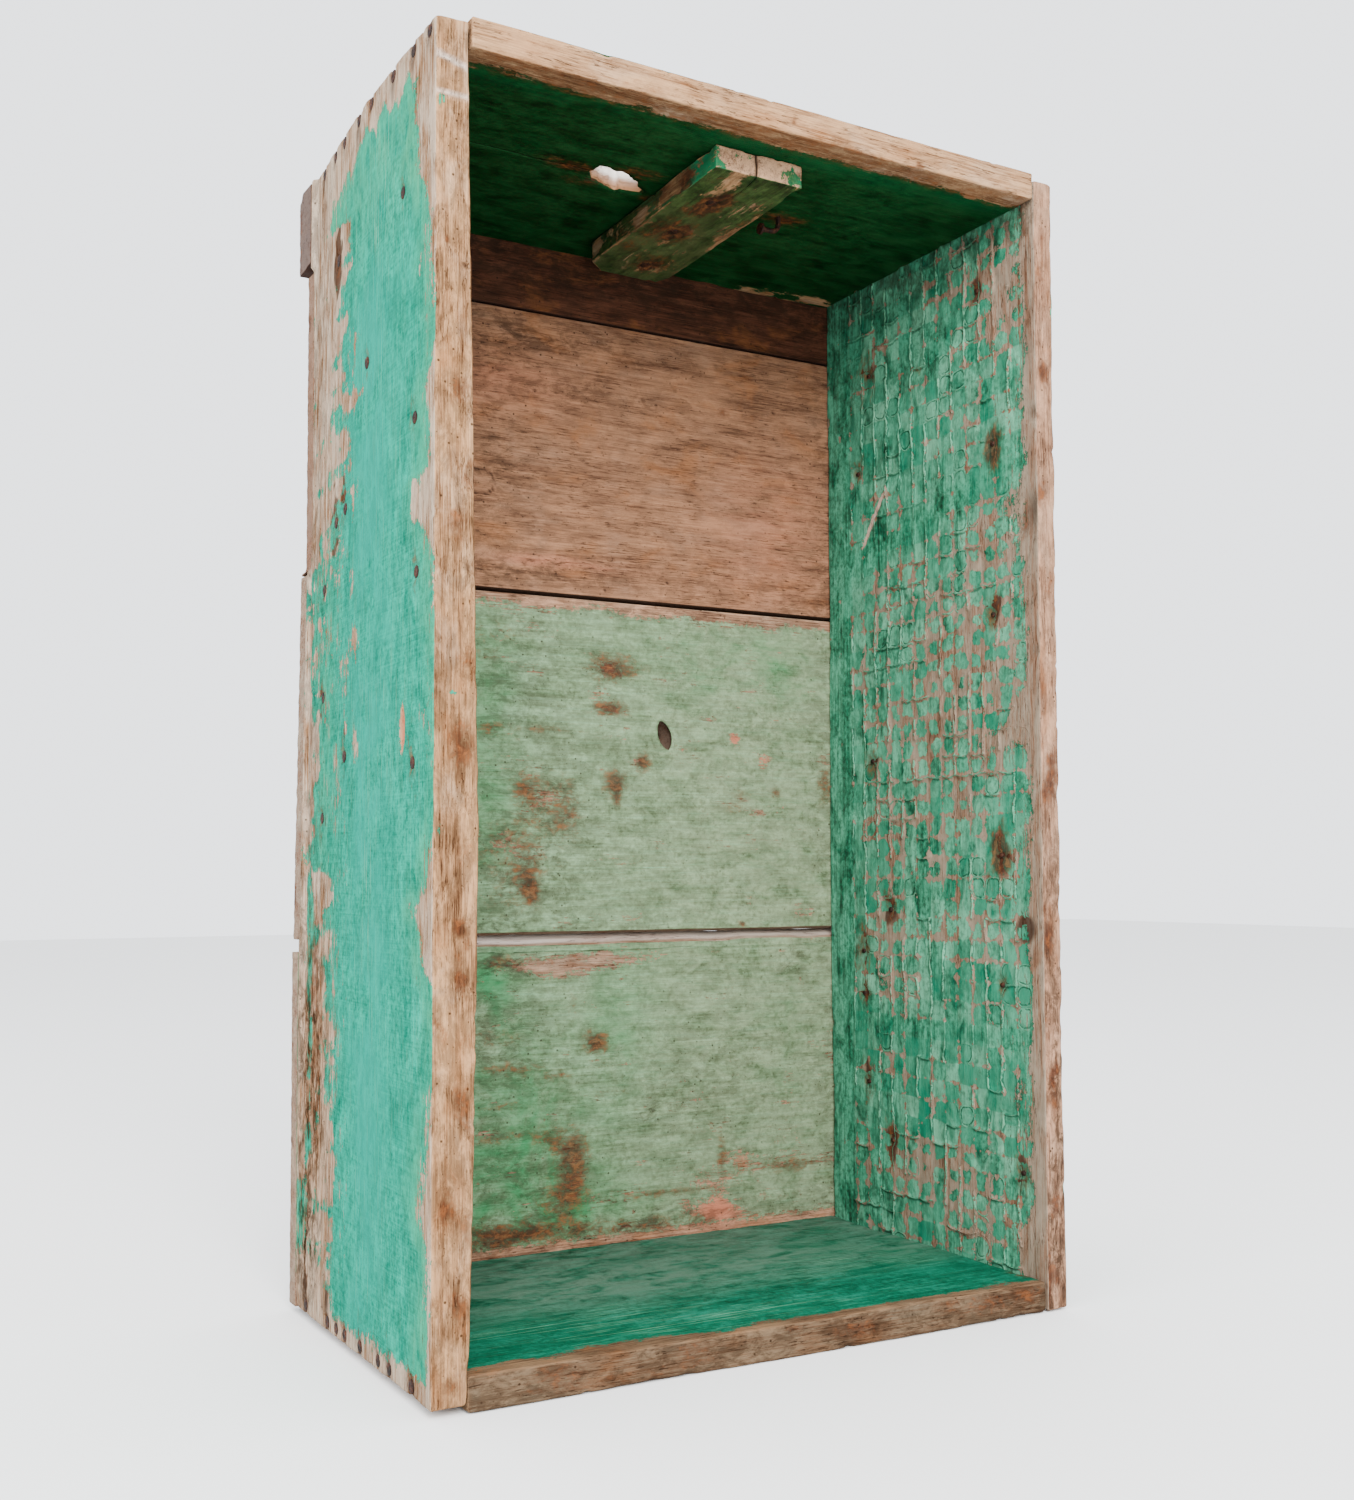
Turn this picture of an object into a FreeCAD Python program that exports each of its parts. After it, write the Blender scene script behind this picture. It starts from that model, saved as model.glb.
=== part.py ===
import FreeCAD, Part
import math
import os

# Nesting box: an open-fronted box of old boards, nailed together, standing on its end.
# Two side boards run the full height.  A top and a bottom board are butted between them and
# nailed through the sides.  Four boards are nailed across the back, and a short batten is
# nailed under the top board.  All lengths are in millimetres.
#
# While it is built, the box has its front left lower corner at zero: X runs right, Y runs from
# the open front to the back, Z runs up.  Each piece is moved to the centred frame when written.

# ---- driving dimensions -------------------------------------------------------------------
WIDTH = 389.0               # over both side boards
SIDE_DEPTH = 211.0          # front edge to back edge of a side board

LEFT_THICKNESS = 18.5
RIGHT_THICKNESS = 15.0
TOP_THICKNESS = 16.0
BOTTOM_THICKNESS = 18.0

LEFT_FOOT = 4.0             # the bottom board is the lowest piece; the sides end a little above it
LEFT_HEAD = 660.0
RIGHT_FOOT = 1.0
RIGHT_HEAD = 658.0
CEILING_LEFT = 647.5        # underside of the top board at its left end
CEILING_RIGHT = 645.3       # and at its right end: the board slopes a little

WORN_ARRIS = 1.5            # rounding of the long outer corners of the side boards

# Back boards, from the bottom up: name, lower edge, upper edge, thickness, shortfall at the
# left end and at the right end.
BACK_BOARDS = [
    ("bottom", 4.0, 213.0, 12.0, 0.0, 1.0),
    ("lower", 214.0, 425.0, 14.0, 1.0, 0.0),
    ("upper", 427.5, 605.0, 12.0, 0.5, 1.5),
    ("top", 606.5, 658.0, 22.0, 0.0, 0.5),
]
TOP_BACK_BEVEL = 5.0        # slope on the upper outer corner of the topmost back board
SLOPING_EDGE_DROP = 7.5     # the bottom back board's upper edge slopes down to its inner face
SLOPING_EDGE_LAND = 1.0     # and leaves this much of it level at the outer face
BROKEN_END = 34.0           # length at its left end where the sloping edge has broken off

BATTEN_WIDTH = 57.0
BATTEN_LENGTH = 165.0
BATTEN_THICKNESS = 13.5
BATTEN_LEFT = 173.5         # left edge at its front end
BATTEN_FRONT = 30.0
BATTEN_SKEW = -0.8          # degrees about Z: its far end leans to the right
BATTEN_CHAMFER = 12.0       # broken corner at the far left
BATTEN_SMALL_CHAMFER = 5.0  # broken corner at the far right
BATTEN_SPLIT = 1.0          # width of the drying crack in its front end
BATTEN_SPLIT_LENGTH = 40.0

KNOTHOLE_X = 148.0          # where the knot fell out of the top board
KNOTHOLE_Y = 99.0
CRACK_WIDTH = 1.0           # crack in the top board, along the grain
CRACK_START = 26.0          # X where it begins
CRACK_Y = 94.0
EYE_X = 243.5               # pointed hole in the lower back board
EYE_Z = 340.5
EYE_LENGTH = 20.0
EYE_WIDTH = 10.0
EYE_LEAN = 14.0             # degrees

# ---- nails --------------------------------------------------------------------------------
NAIL_LENGTH = 50.0
NAIL_RADIUS = 1.5
HEAD_RADIUS = 3.4
HEAD_THICKNESS = 1.4
POINT_LENGTH = 4.0
HEAD_SINK = 0.4             # heads are driven this far below the wood
BATTEN_NAIL_LENGTH = 26.0

LEFT_TOP_NAIL_Z = CEILING_LEFT + 0.5 * TOP_THICKNESS
RIGHT_TOP_NAIL_Z = CEILING_RIGHT + 0.5 * TOP_THICKNESS
BOTTOM_NAIL_Z = 0.5 * BOTTOM_THICKNESS
TOP_BACK_NAIL_RISE = 2.5    # of the nails into the top board's back edge, above its underside
LEFT_TOP_NAILS_Y = [10.0, 32.0, 61.0, 94.0, 116.0, 145.0, 165.0, 190.0]
LEFT_BOTTOM_NAILS_Y = [27.0, 57.0, 73.0, 101.0, 125.0, 139.0, 154.0, 193.0]
RIGHT_NAILS_Y = [18.0, 55.0, 92.0, 130.0, 165.0, 195.0]

# Heights of the nails at both ends of each back board, and places along the top and the
# bottom board's back edge where the back boards are also nailed.
BACK_NAILS_Z = {
    "bottom": [28.0, 97.0, 152.0],
    "lower": [237.0, 320.0, 397.0],
    "upper": [456.0, 502.0, 577.0],
    "top": [620.0, 640.0],
}
BACK_NAILS_X = {"bottom": [85.0, 195.0, 305.0], "top": [85.0, 235.0, 325.0]}

# Old nails left in the side boards, as (Y, Z).
LEFT_OLD_FRONT = [(46.0, 589.5), (28.0, 471.5), (25.0, 395.5), (29.0, 303.5)]
LEFT_OLD_BACK = [
    (155.5, 592.5), (99.5, 518.5), (137.0, 448.5), (155.0, 444.5),
    (178.0, 410.5), (178.0, 349.5), (135.0, 313.5), (177.0, 281.5),
]
RIGHT_OLD_FRONT = [
    (52.0, 607.5), (39.5, 509.5), (40.5, 405.5), (36.0, 260.5), (36.5, 183.5), (20.5, 75.5),
]
RIGHT_OLD_BACK = [
    (162.5, 584.5), (175.5, 520.5), (162.0, 324.5), (144.0, 226.5),
    (173.5, 198.5), (173.0, 170.5), (169.0, 112.5), (144.0, 77.5),
]
BATTEN_NAILS = [(197.0, 73.0), (198.0, 119.0), (208.0, 173.0)]

BENT_NAIL_X = 258.0
BENT_NAIL_Y = 96.0
BENT_NAIL_DEPTH = 10.0      # how far it goes up into the top board
BENT_NAIL_DROP = 4.0        # straight stretch below the board
BEND_RADIUS = 5.0
BENT_NAIL_TAIL = 7.0        # straight stretch after the bend, before the head

# ---- places that follow from the above ----------------------------------------------------
INNER_LEFT = LEFT_THICKNESS
INNER_RIGHT = WIDTH - RIGHT_THICKNESS
DEPTH = SIDE_DEPTH + max(board[3] for board in BACK_BOARDS)
SLOPE = (CEILING_RIGHT - CEILING_LEFT) / (INNER_RIGHT - INNER_LEFT)

TO_FRAME = FreeCAD.Vector(-WIDTH / 2, -DEPTH / 2, 0)
X_DIR = FreeCAD.Vector(1, 0, 0)
Y_DIR = FreeCAD.Vector(0, 1, 0)
Z_DIR = FreeCAD.Vector(0, 0, 1)
PARTS_DIR = "parts"


def block(x0, x1, y0, y1, z0, z1):
    """A box between two opposite corners."""
    return Part.makeBox(x1 - x0, y1 - y0, z1 - z0, FreeCAD.Vector(x0, y0, z0))


def ceiling_z(x):
    """Height of the top board's sloping underside."""
    return CEILING_LEFT + SLOPE * (x - INNER_LEFT)


def edges_along(shape, direction, near):
    """The straight edges that run along a direction and pass the test near(x, y, z)."""
    chosen = []
    for edge in shape.Edges:
        run = edge.Vertexes[-1].Point - edge.Vertexes[0].Point
        along = abs(run.dot(direction)) > 0.999 * run.Length
        middle = edge.CenterOfMass
        if along and near(middle.x, middle.y, middle.z):
            chosen.append(edge)
    return chosen


def nail(point, direction, length, pointed=True):
    """A nail whose head's outer face is at point, driven along direction."""
    tip = POINT_LENGTH if pointed else 0.0
    profile = [
        (0, 0),
        (HEAD_RADIUS, 0),
        (HEAD_RADIUS, HEAD_THICKNESS),
        (NAIL_RADIUS, HEAD_THICKNESS),
        (NAIL_RADIUS, length - tip),
        (0, length),
    ]
    corners = [FreeCAD.Vector(r, 0, z) for r, z in profile]
    outline = Part.makePolygon(corners + corners[:1])
    solid = Part.Face(outline).revolve(FreeCAD.Vector(0, 0, 0), Z_DIR, 360)
    solid.Placement = FreeCAD.Placement(point, FreeCAD.Rotation(Z_DIR, direction))
    return solid


def nails_into_end(side, places_y, z):
    """Nails through a side board into the end of the top or the bottom board."""
    x = HEAD_SINK if side == "left" else WIDTH - HEAD_SINK
    direction = X_DIR if side == "left" else -X_DIR
    return [nail(FreeCAD.Vector(x, y, z), direction, NAIL_LENGTH) for y in places_y]


def old_nails(side, places):
    """Old nails driven from outside through a side board and cut off flush inside."""
    left = side == "left"
    x = HEAD_SINK if left else WIDTH - HEAD_SINK
    direction = X_DIR if left else -X_DIR
    length = (LEFT_THICKNESS if left else RIGHT_THICKNESS) - HEAD_SINK
    return [nail(FreeCAD.Vector(x, y, z), direction, length, pointed=False) for y, z in places]


def back_nails(name, thickness):
    """Nails through a back board into the back edges of the boards in front of it."""
    y = SIDE_DEPTH + thickness - HEAD_SINK
    places = []
    for z in BACK_NAILS_Z[name]:
        places.append((0.5 * LEFT_THICKNESS, z))
        places.append((WIDTH - 0.5 * RIGHT_THICKNESS, z))
    for x in BACK_NAILS_X.get(name, []):
        z = BOTTOM_NAIL_Z if name == "bottom" else ceiling_z(x) + TOP_BACK_NAIL_RISE
        places.append((x, z))
    return [nail(FreeCAD.Vector(x, y, z), -Y_DIR, NAIL_LENGTH) for x, z in places]


def bent_nail():
    """A rusty nail standing out of the underside of the top board, bent over towards the batten."""
    ceiling = ceiling_z(BENT_NAIL_X)
    start = FreeCAD.Vector(BENT_NAIL_X, BENT_NAIL_Y, ceiling + BENT_NAIL_DEPTH)
    low = FreeCAD.Vector(BENT_NAIL_X, BENT_NAIL_Y, ceiling - BENT_NAIL_DROP)
    half_turn = BEND_RADIUS * (1 - math.cos(math.pi / 4))
    middle = low + FreeCAD.Vector(-half_turn, 0, -BEND_RADIUS * math.sin(math.pi / 4))
    turned = low + FreeCAD.Vector(-BEND_RADIUS, 0, -BEND_RADIUS)
    end = turned - FreeCAD.Vector(BENT_NAIL_TAIL, 0, 0)
    path = Part.Wire([
        Part.LineSegment(start, low).toShape(),
        Part.Arc(low, middle, turned).toShape(),
        Part.LineSegment(turned, end).toShape(),
    ])
    section = Part.Wire(Part.makeCircle(NAIL_RADIUS, start, -Z_DIR))
    shank = path.makePipeShell([section], True, True)
    head = Part.makeCylinder(HEAD_RADIUS, HEAD_THICKNESS, end, -X_DIR)
    return shank.fuse(head).removeSplitter()


def side_board(side):
    """A side board, the full height of the box, with its outer front corner worn round."""
    if side == "left":
        board = block(0, LEFT_THICKNESS, 0, SIDE_DEPTH, LEFT_FOOT, LEFT_HEAD)
        outer_x = 0.0
    else:
        board = block(INNER_RIGHT, WIDTH, 0, SIDE_DEPTH, RIGHT_FOOT, RIGHT_HEAD)
        outer_x = WIDTH
    worn = edges_along(board, Z_DIR, lambda x, y, z: abs(x - outer_x) < 0.1 and y < 0.1)
    return board.makeFillet(WORN_ARRIS, worn)


def knothole():
    """The ragged hole where a knot fell out, as a cutter through the top board."""
    rim = [
        (-19, -6), (-14, -12), (0, -11), (11, -5), (20, 6), (11, 12), (-2, 11), (-12, 5),
    ]
    z = CEILING_RIGHT - 1
    points = [FreeCAD.Vector(KNOTHOLE_X + x, KNOTHOLE_Y + y, z) for x, y in rim]
    outline = Part.BSplineCurve()
    outline.interpolate(Points=points, PeriodicFlag=True)
    face = Part.Face(Part.Wire(outline.toShape()))
    return face.extrude(FreeCAD.Vector(0, 0, TOP_THICKNESS + 5))


def top_board():
    """The sloping board butted between the tops of the sides, with a knothole and a crack."""
    corners = [
        FreeCAD.Vector(INNER_LEFT, 0, CEILING_LEFT),
        FreeCAD.Vector(INNER_RIGHT, 0, CEILING_RIGHT),
        FreeCAD.Vector(INNER_RIGHT, 0, CEILING_RIGHT + TOP_THICKNESS),
        FreeCAD.Vector(INNER_LEFT, 0, CEILING_LEFT + TOP_THICKNESS),
    ]
    front = Part.Face(Part.makePolygon(corners + corners[:1]))
    board = front.extrude(FreeCAD.Vector(0, SIDE_DEPTH, 0))
    crack_top = CEILING_LEFT + TOP_THICKNESS + 1
    crack = block(
        CRACK_START, KNOTHOLE_X, CRACK_Y, CRACK_Y + CRACK_WIDTH, CEILING_RIGHT - 1, crack_top
    )
    return board.cut(knothole()).cut(crack)


def eye_hole(y0, y1):
    """The pointed hole in the lower back board, as a cutter between two depths."""
    half_length = EYE_LENGTH / 2
    half_width = EYE_WIDTH / 2
    top = FreeCAD.Vector(0, 0, half_length)
    bottom = FreeCAD.Vector(0, 0, -half_length)
    sides = [
        Part.Arc(bottom, FreeCAD.Vector(-half_width, 0, 0), top).toShape(),
        Part.Arc(top, FreeCAD.Vector(half_width, 0, 0), bottom).toShape(),
    ]
    cutter = Part.Face(Part.Wire(sides)).extrude(FreeCAD.Vector(0, y1 - y0, 0))
    cutter.rotate(FreeCAD.Vector(0, 0, 0), Y_DIR, -EYE_LEAN)
    cutter.translate(FreeCAD.Vector(EYE_X, y0, EYE_Z))
    return cutter


def sloping_edge(y1, z1):
    """A cutter that slopes an upper edge at height z1 down towards the inner face."""
    corners = [
        FreeCAD.Vector(-1, SIDE_DEPTH, z1 - SLOPING_EDGE_DROP),
        FreeCAD.Vector(-1, y1 - SLOPING_EDGE_LAND, z1),
        FreeCAD.Vector(-1, y1 - SLOPING_EDGE_LAND, z1 + 1),
        FreeCAD.Vector(-1, SIDE_DEPTH - 1, z1 + 1),
        FreeCAD.Vector(-1, SIDE_DEPTH - 1, z1 - SLOPING_EDGE_DROP),
    ]
    face = Part.Face(Part.makePolygon(corners + corners[:1]))
    return face.extrude(FreeCAD.Vector(WIDTH + 2, 0, 0))


def back_board(name, z0, z1, thickness, short_left, short_right):
    """One of the boards nailed across the back."""
    y1 = SIDE_DEPTH + thickness
    board = block(short_left, WIDTH - short_right, SIDE_DEPTH, y1, z0, z1)
    if name == "top":
        upper = edges_along(board, X_DIR, lambda x, y, z: y > y1 - 0.1 and z > z1 - 0.1)
        board = board.makeChamfer(TOP_BACK_BEVEL, upper)
    if name == "lower":
        board = board.cut(eye_hole(SIDE_DEPTH - 1, y1 + 1))
    if name == "bottom":
        board = board.cut(sloping_edge(y1, z1))
        broken = block(-1, BROKEN_END, SIDE_DEPTH - 1, y1 + 1, z1 - SLOPING_EDGE_DROP, z1 + 1)
        board = board.cut(broken)
    return board


def batten():
    """The short batten under the top board, with broken far corners and a split front end."""
    x1 = BATTEN_LEFT + BATTEN_WIDTH
    y1 = BATTEN_FRONT + BATTEN_LENGTH
    z1 = ceiling_z(BATTEN_LEFT)
    z0 = z1 - BATTEN_THICKNESS
    board = block(BATTEN_LEFT, x1, BATTEN_FRONT, y1, z0, z1)
    corners = (
        (BATTEN_CHAMFER, lambda x, y, z: x < BATTEN_LEFT + 0.1 and y > y1 - 0.1),
        (BATTEN_SMALL_CHAMFER, lambda x, y, z: x > x1 - 0.1 and y > y1 - 0.1),
    )
    for size, near in corners:
        board = board.makeChamfer(size, edges_along(board, Z_DIR, near))
    split_x = BATTEN_LEFT + 0.45 * BATTEN_WIDTH
    split_end = BATTEN_FRONT + BATTEN_SPLIT_LENGTH
    split = block(split_x, split_x + BATTEN_SPLIT, BATTEN_FRONT - 1, split_end, z0 - 1, z0 + 8)
    board = board.cut(split)
    board.rotate(FreeCAD.Vector(BATTEN_LEFT, BATTEN_FRONT, z1), Z_DIR, BATTEN_SKEW)
    board.rotate(FreeCAD.Vector(BATTEN_LEFT, BATTEN_FRONT, z1), Y_DIR, -math.degrees(SLOPE))
    return board


def fasteners():
    """Every group of nails, by node name."""
    groups = {
        "left_top_nails": nails_into_end("left", LEFT_TOP_NAILS_Y, LEFT_TOP_NAIL_Z),
        "left_bottom_nails": nails_into_end("left", LEFT_BOTTOM_NAILS_Y, BOTTOM_NAIL_Z),
        "right_top_nails": nails_into_end("right", RIGHT_NAILS_Y, RIGHT_TOP_NAIL_Z),
        "right_bottom_nails": nails_into_end("right", RIGHT_NAILS_Y, BOTTOM_NAIL_Z),
        "left_old_nails_front": old_nails("left", LEFT_OLD_FRONT),
        "left_old_nails_back": old_nails("left", LEFT_OLD_BACK),
        "right_old_nails_front": old_nails("right", RIGHT_OLD_FRONT),
        "right_old_nails_back": old_nails("right", RIGHT_OLD_BACK),
    }
    for board in BACK_BOARDS:
        name, thickness = board[0], board[3]
        groups["back_nails_" + name] = back_nails(name, thickness)
    sink = HEAD_SINK - BATTEN_THICKNESS
    groups["batten_nails"] = [
        nail(FreeCAD.Vector(x, y, ceiling_z(x) + sink), Z_DIR, BATTEN_NAIL_LENGTH)
        for x, y in BATTEN_NAILS
    ]
    groups["bent_nail"] = [bent_nail()]
    return groups


def boards():
    """Every board, by node name, before the nails are driven."""
    pieces = {
        "left_side_board": side_board("left"),
        "right_side_board": side_board("right"),
        "top_board": top_board(),
        "bottom_board": block(INNER_LEFT, INNER_RIGHT, 0, SIDE_DEPTH, 0, BOTTOM_THICKNESS),
        "top_batten": batten(),
    }
    for board in BACK_BOARDS:
        pieces["back_board_" + board[0]] = back_board(*board)
    return pieces


def main():
    os.makedirs(PARTS_DIR, exist_ok=True)
    groups = fasteners()
    driven = Part.makeCompound([item for group in groups.values() for item in group])
    pieces = {name: wood.cut(driven) for name, wood in boards().items()}
    for name, group in groups.items():
        pieces[name] = Part.makeCompound(group)
    for name, piece in pieces.items():
        piece.translate(TO_FRAME)
        if not piece.isValid():
            raise RuntimeError(name + " is not a valid solid")
        piece.exportStep(os.path.join(PARTS_DIR, name + ".step"))
        print(name, len(piece.Solids), "solids", round(piece.Volume), "mm3")


main()
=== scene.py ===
import math

import bmesh
import bpy
import numpy as np
from mathutils import Matrix, Vector


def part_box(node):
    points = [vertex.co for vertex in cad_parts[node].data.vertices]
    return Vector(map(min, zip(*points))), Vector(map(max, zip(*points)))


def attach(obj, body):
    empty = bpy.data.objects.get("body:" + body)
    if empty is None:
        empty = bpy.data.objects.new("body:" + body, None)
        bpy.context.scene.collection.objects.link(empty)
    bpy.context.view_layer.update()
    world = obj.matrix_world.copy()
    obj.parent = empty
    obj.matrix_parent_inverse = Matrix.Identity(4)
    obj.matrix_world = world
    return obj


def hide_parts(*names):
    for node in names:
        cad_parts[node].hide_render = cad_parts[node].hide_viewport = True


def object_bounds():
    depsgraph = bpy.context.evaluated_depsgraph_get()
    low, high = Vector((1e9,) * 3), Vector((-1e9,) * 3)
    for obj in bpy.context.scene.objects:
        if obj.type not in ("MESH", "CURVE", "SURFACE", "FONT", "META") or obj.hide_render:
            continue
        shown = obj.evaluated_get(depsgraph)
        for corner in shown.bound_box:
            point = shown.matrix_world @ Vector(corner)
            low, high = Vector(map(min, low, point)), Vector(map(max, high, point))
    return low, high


# Looks for the nesting box: old nailed boards with worn green paint.  Every board is a dense
# lattice shaped and stained in code.  Places on the object are in millimetres from the box's
# lowest front left corner: X right, Y from the open front to the back, Z up.

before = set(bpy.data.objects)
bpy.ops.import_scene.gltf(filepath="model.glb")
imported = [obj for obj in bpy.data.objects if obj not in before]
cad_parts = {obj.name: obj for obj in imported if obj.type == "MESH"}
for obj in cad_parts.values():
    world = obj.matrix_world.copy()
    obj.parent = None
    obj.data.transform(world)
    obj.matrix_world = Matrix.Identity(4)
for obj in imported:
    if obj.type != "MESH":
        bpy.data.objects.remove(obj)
CAD_BOX = [list(corner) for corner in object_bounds()]
MM_PER_METRE = 1000.0
TO_METRES = 0.001
CORNER = np.array(CAD_BOX[0]) * MM_PER_METRE

# ---- numbers shared by the boards ----------------------------------------------------------
SIDE_PITCH = 1.9            # spacing of the lattice on the tall side boards
BOARD_PITCH = 1.7           # and on the other boards
END_STEPS = (0.0, 0.5, 1.2, 2.1, 3.3)   # closer lines near every arris
LAYER_PITCH = 2.4           # and through their thickness
PAINT_RANGE = 20.0          # the paint attribute runs over this many mm, 0.5 at the paint's edge
BARE = -20.0                # a distance so far outside the paint that none is left
WIRE_PITCH_Y = 13.3         # wire mesh that was pressed into the right board's paint
WIRE_PITCH_Z = 12.65
CRACK_HALF = 0.3            # half the width of a drying crack
SLOPING_EDGE_DROP = 7.5     # of the lowest back board's upper edge, towards its inner face

# The lean of the left side's back edge, and of the back boards' left ends, as (height, mm).
SIDE_LEAN = ((60, 0.0), (210, 3.2), (430, 4.8), (600, 7.0))
BACK_LEAN = ((210, 0.0), (427, 3.2), (429, 6.0), (605, 6.0), (607, 4.0))
LEAN_START = 99.0           # how far back the side board begins to lean
LEAN_DEPTH = 112.0          # and over what depth it reaches the whole lean
BACK_PLANE = 206.0          # the back boards begin here
LEAN_REACH = 40.0           # from the left side, where the lean has died away


def box_of(node):
    """A CAD node's lowest and highest corner, in mm."""
    return [np.array(corner) * MM_PER_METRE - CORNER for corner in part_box(node)]


# ---- noise ---------------------------------------------------------------------------------
def noise(points, cell, seed):
    """Smooth noise from -1 to 1.  cell is the size of its lumps along X, Y and Z."""
    rng = np.random.default_rng(seed)
    table = rng.uniform(-1, 1, 8192)
    place = points / np.asarray(cell, float) + rng.uniform(0, 100, 3)
    base = np.floor(place).astype(np.int64)
    part = place - base
    part = part * part * (3 - 2 * part)
    total = np.zeros(len(points))
    for corner in np.ndindex(2, 2, 2):
        at = base + corner
        mixed = (at[:, 0] * 73856093) ^ (at[:, 1] * 19349663) ^ (at[:, 2] * 83492791)
        weight = np.ones(len(points))
        for axis in range(3):
            weight = weight * (part[:, axis] if corner[axis] else 1 - part[:, axis])
        total += weight * table[mixed & 8191]
    return total


def rough(points, cell, seed, octaves=3):
    """Noise with finer and finer detail added."""
    cell = np.asarray(cell, float) * np.ones(3)
    total = np.zeros(len(points))
    for octave in range(octaves):
        total += noise(points, cell / 2**octave, seed + octave) / 2**octave
    return total


def clamp(value):
    """The value kept between 0 and 1."""
    return np.clip(value, 0, 1)


def ease(value, low, high):
    """0 below low, 1 above high, smooth between."""
    step = clamp((value - low) / (high - low))
    return step * step * (3 - 2 * step)


def fall(value, start, end):
    """1 below start, 0 above end, smooth between."""
    return ease(-value, -end, -start)


def bell(value, middle, width):
    """1 at the middle, dying away on both sides."""
    return np.exp(-((value - middle) / width) ** 2)


def spot(across, along, radius, stretch):
    """1 at a centre, falling to 0 at the radius.  stretch lengthens it along the grain."""
    return clamp(1 - (across**2 + (along / stretch) ** 2) / radius**2)


# ---- the lattice of a board ----------------------------------------------------------------
def spaced(length, pitch, ends=END_STEPS):
    """Lattice lines from 0 to length, closer together near both ends."""
    ends = np.array([e for e in ends if e < length / 2])
    count = max(2, round((length - 2 * ends[-1]) / pitch))
    inner = np.linspace(ends[-1], length - ends[-1], count)
    return np.unique(np.round(np.concatenate([ends, inner, length - ends]), 4))


def lattice(lines, gone):
    """The surface of a board as lattice points (u, v, n), quads, and which points are on the
    rim of a hole.  gone says which cells have no wood."""
    u, v, n = lines
    nv, nn = len(v), len(n)
    kept = ~gone

    def index(i, j, k):
        return (i * nv + j) * nn + k

    i, j = np.nonzero(kept)
    top = nn - 1
    under = (index(i, j, 0), index(i, j + 1, 0), index(i + 1, j + 1, 0), index(i + 1, j, 0))
    over = (index(i, j, top), index(i + 1, j, top), index(i + 1, j + 1, top), index(i, j + 1, top))
    quads = [np.stack(under, 1), np.stack(over, 1)]
    ring = np.pad(kept, 1)
    for along_u in (True, False):
        low = ring[:-1, 1:-1] if along_u else ring[1:-1, :-1]
        high = ring[1:, 1:-1] if along_u else ring[1:-1, 1:]
        di, dj = (0, 1) if along_u else (1, 0)
        for wall, turn in ((high & ~low, along_u), (low & ~high, not along_u)):
            i, j = np.nonzero(wall)
            for k in range(top):
                quad = (index(i, j, k), index(i + di, j + dj, k), index(i + di, j + dj, k + 1),
                        index(i, j, k + 1))
                quads.append(np.stack(quad[::-1] if turn else quad, 1))
    quads = np.concatenate(quads)
    used, quads = np.unique(quads, return_inverse=True)
    i, rest = np.divmod(used, nv * nn)
    j, k = np.divmod(rest, nn)
    around = np.pad(gone, 1)
    rim = around[i, j] | around[i + 1, j] | around[i, j + 1] | around[i + 1, j + 1]
    return np.stack([u[i], v[j], n[k]], 1), quads.reshape(-1, 4), rim


def inside_outline(x, y, outline):
    """Which places are inside a closed outline."""
    inside = np.zeros(np.broadcast(x, y).shape, bool)
    for (x0, y0), (x1, y1) in zip(outline, np.roll(outline, -1, 0)):
        crosses = (y0 > y) != (y1 > y)
        inside ^= crosses & (x < (x1 - x0) * (y - y0) / (y1 - y0 + 1e-12) + x0)
    return inside


def nearest_on(points, outline):
    """The nearest place on a closed outline to each point."""
    best = np.full(len(points), np.inf)
    found = points.copy()
    for a, b in zip(outline, np.roll(outline, -1, 0)):
        run = b - a
        t = clamp((points - a) @ run / (run @ run))
        place = a + t[:, None] * run
        gap = ((points - place) ** 2).sum(1)
        nearer = gap < best
        best[nearer] = gap[nearer]
        found[nearer] = place[nearer]
    return found


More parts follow.
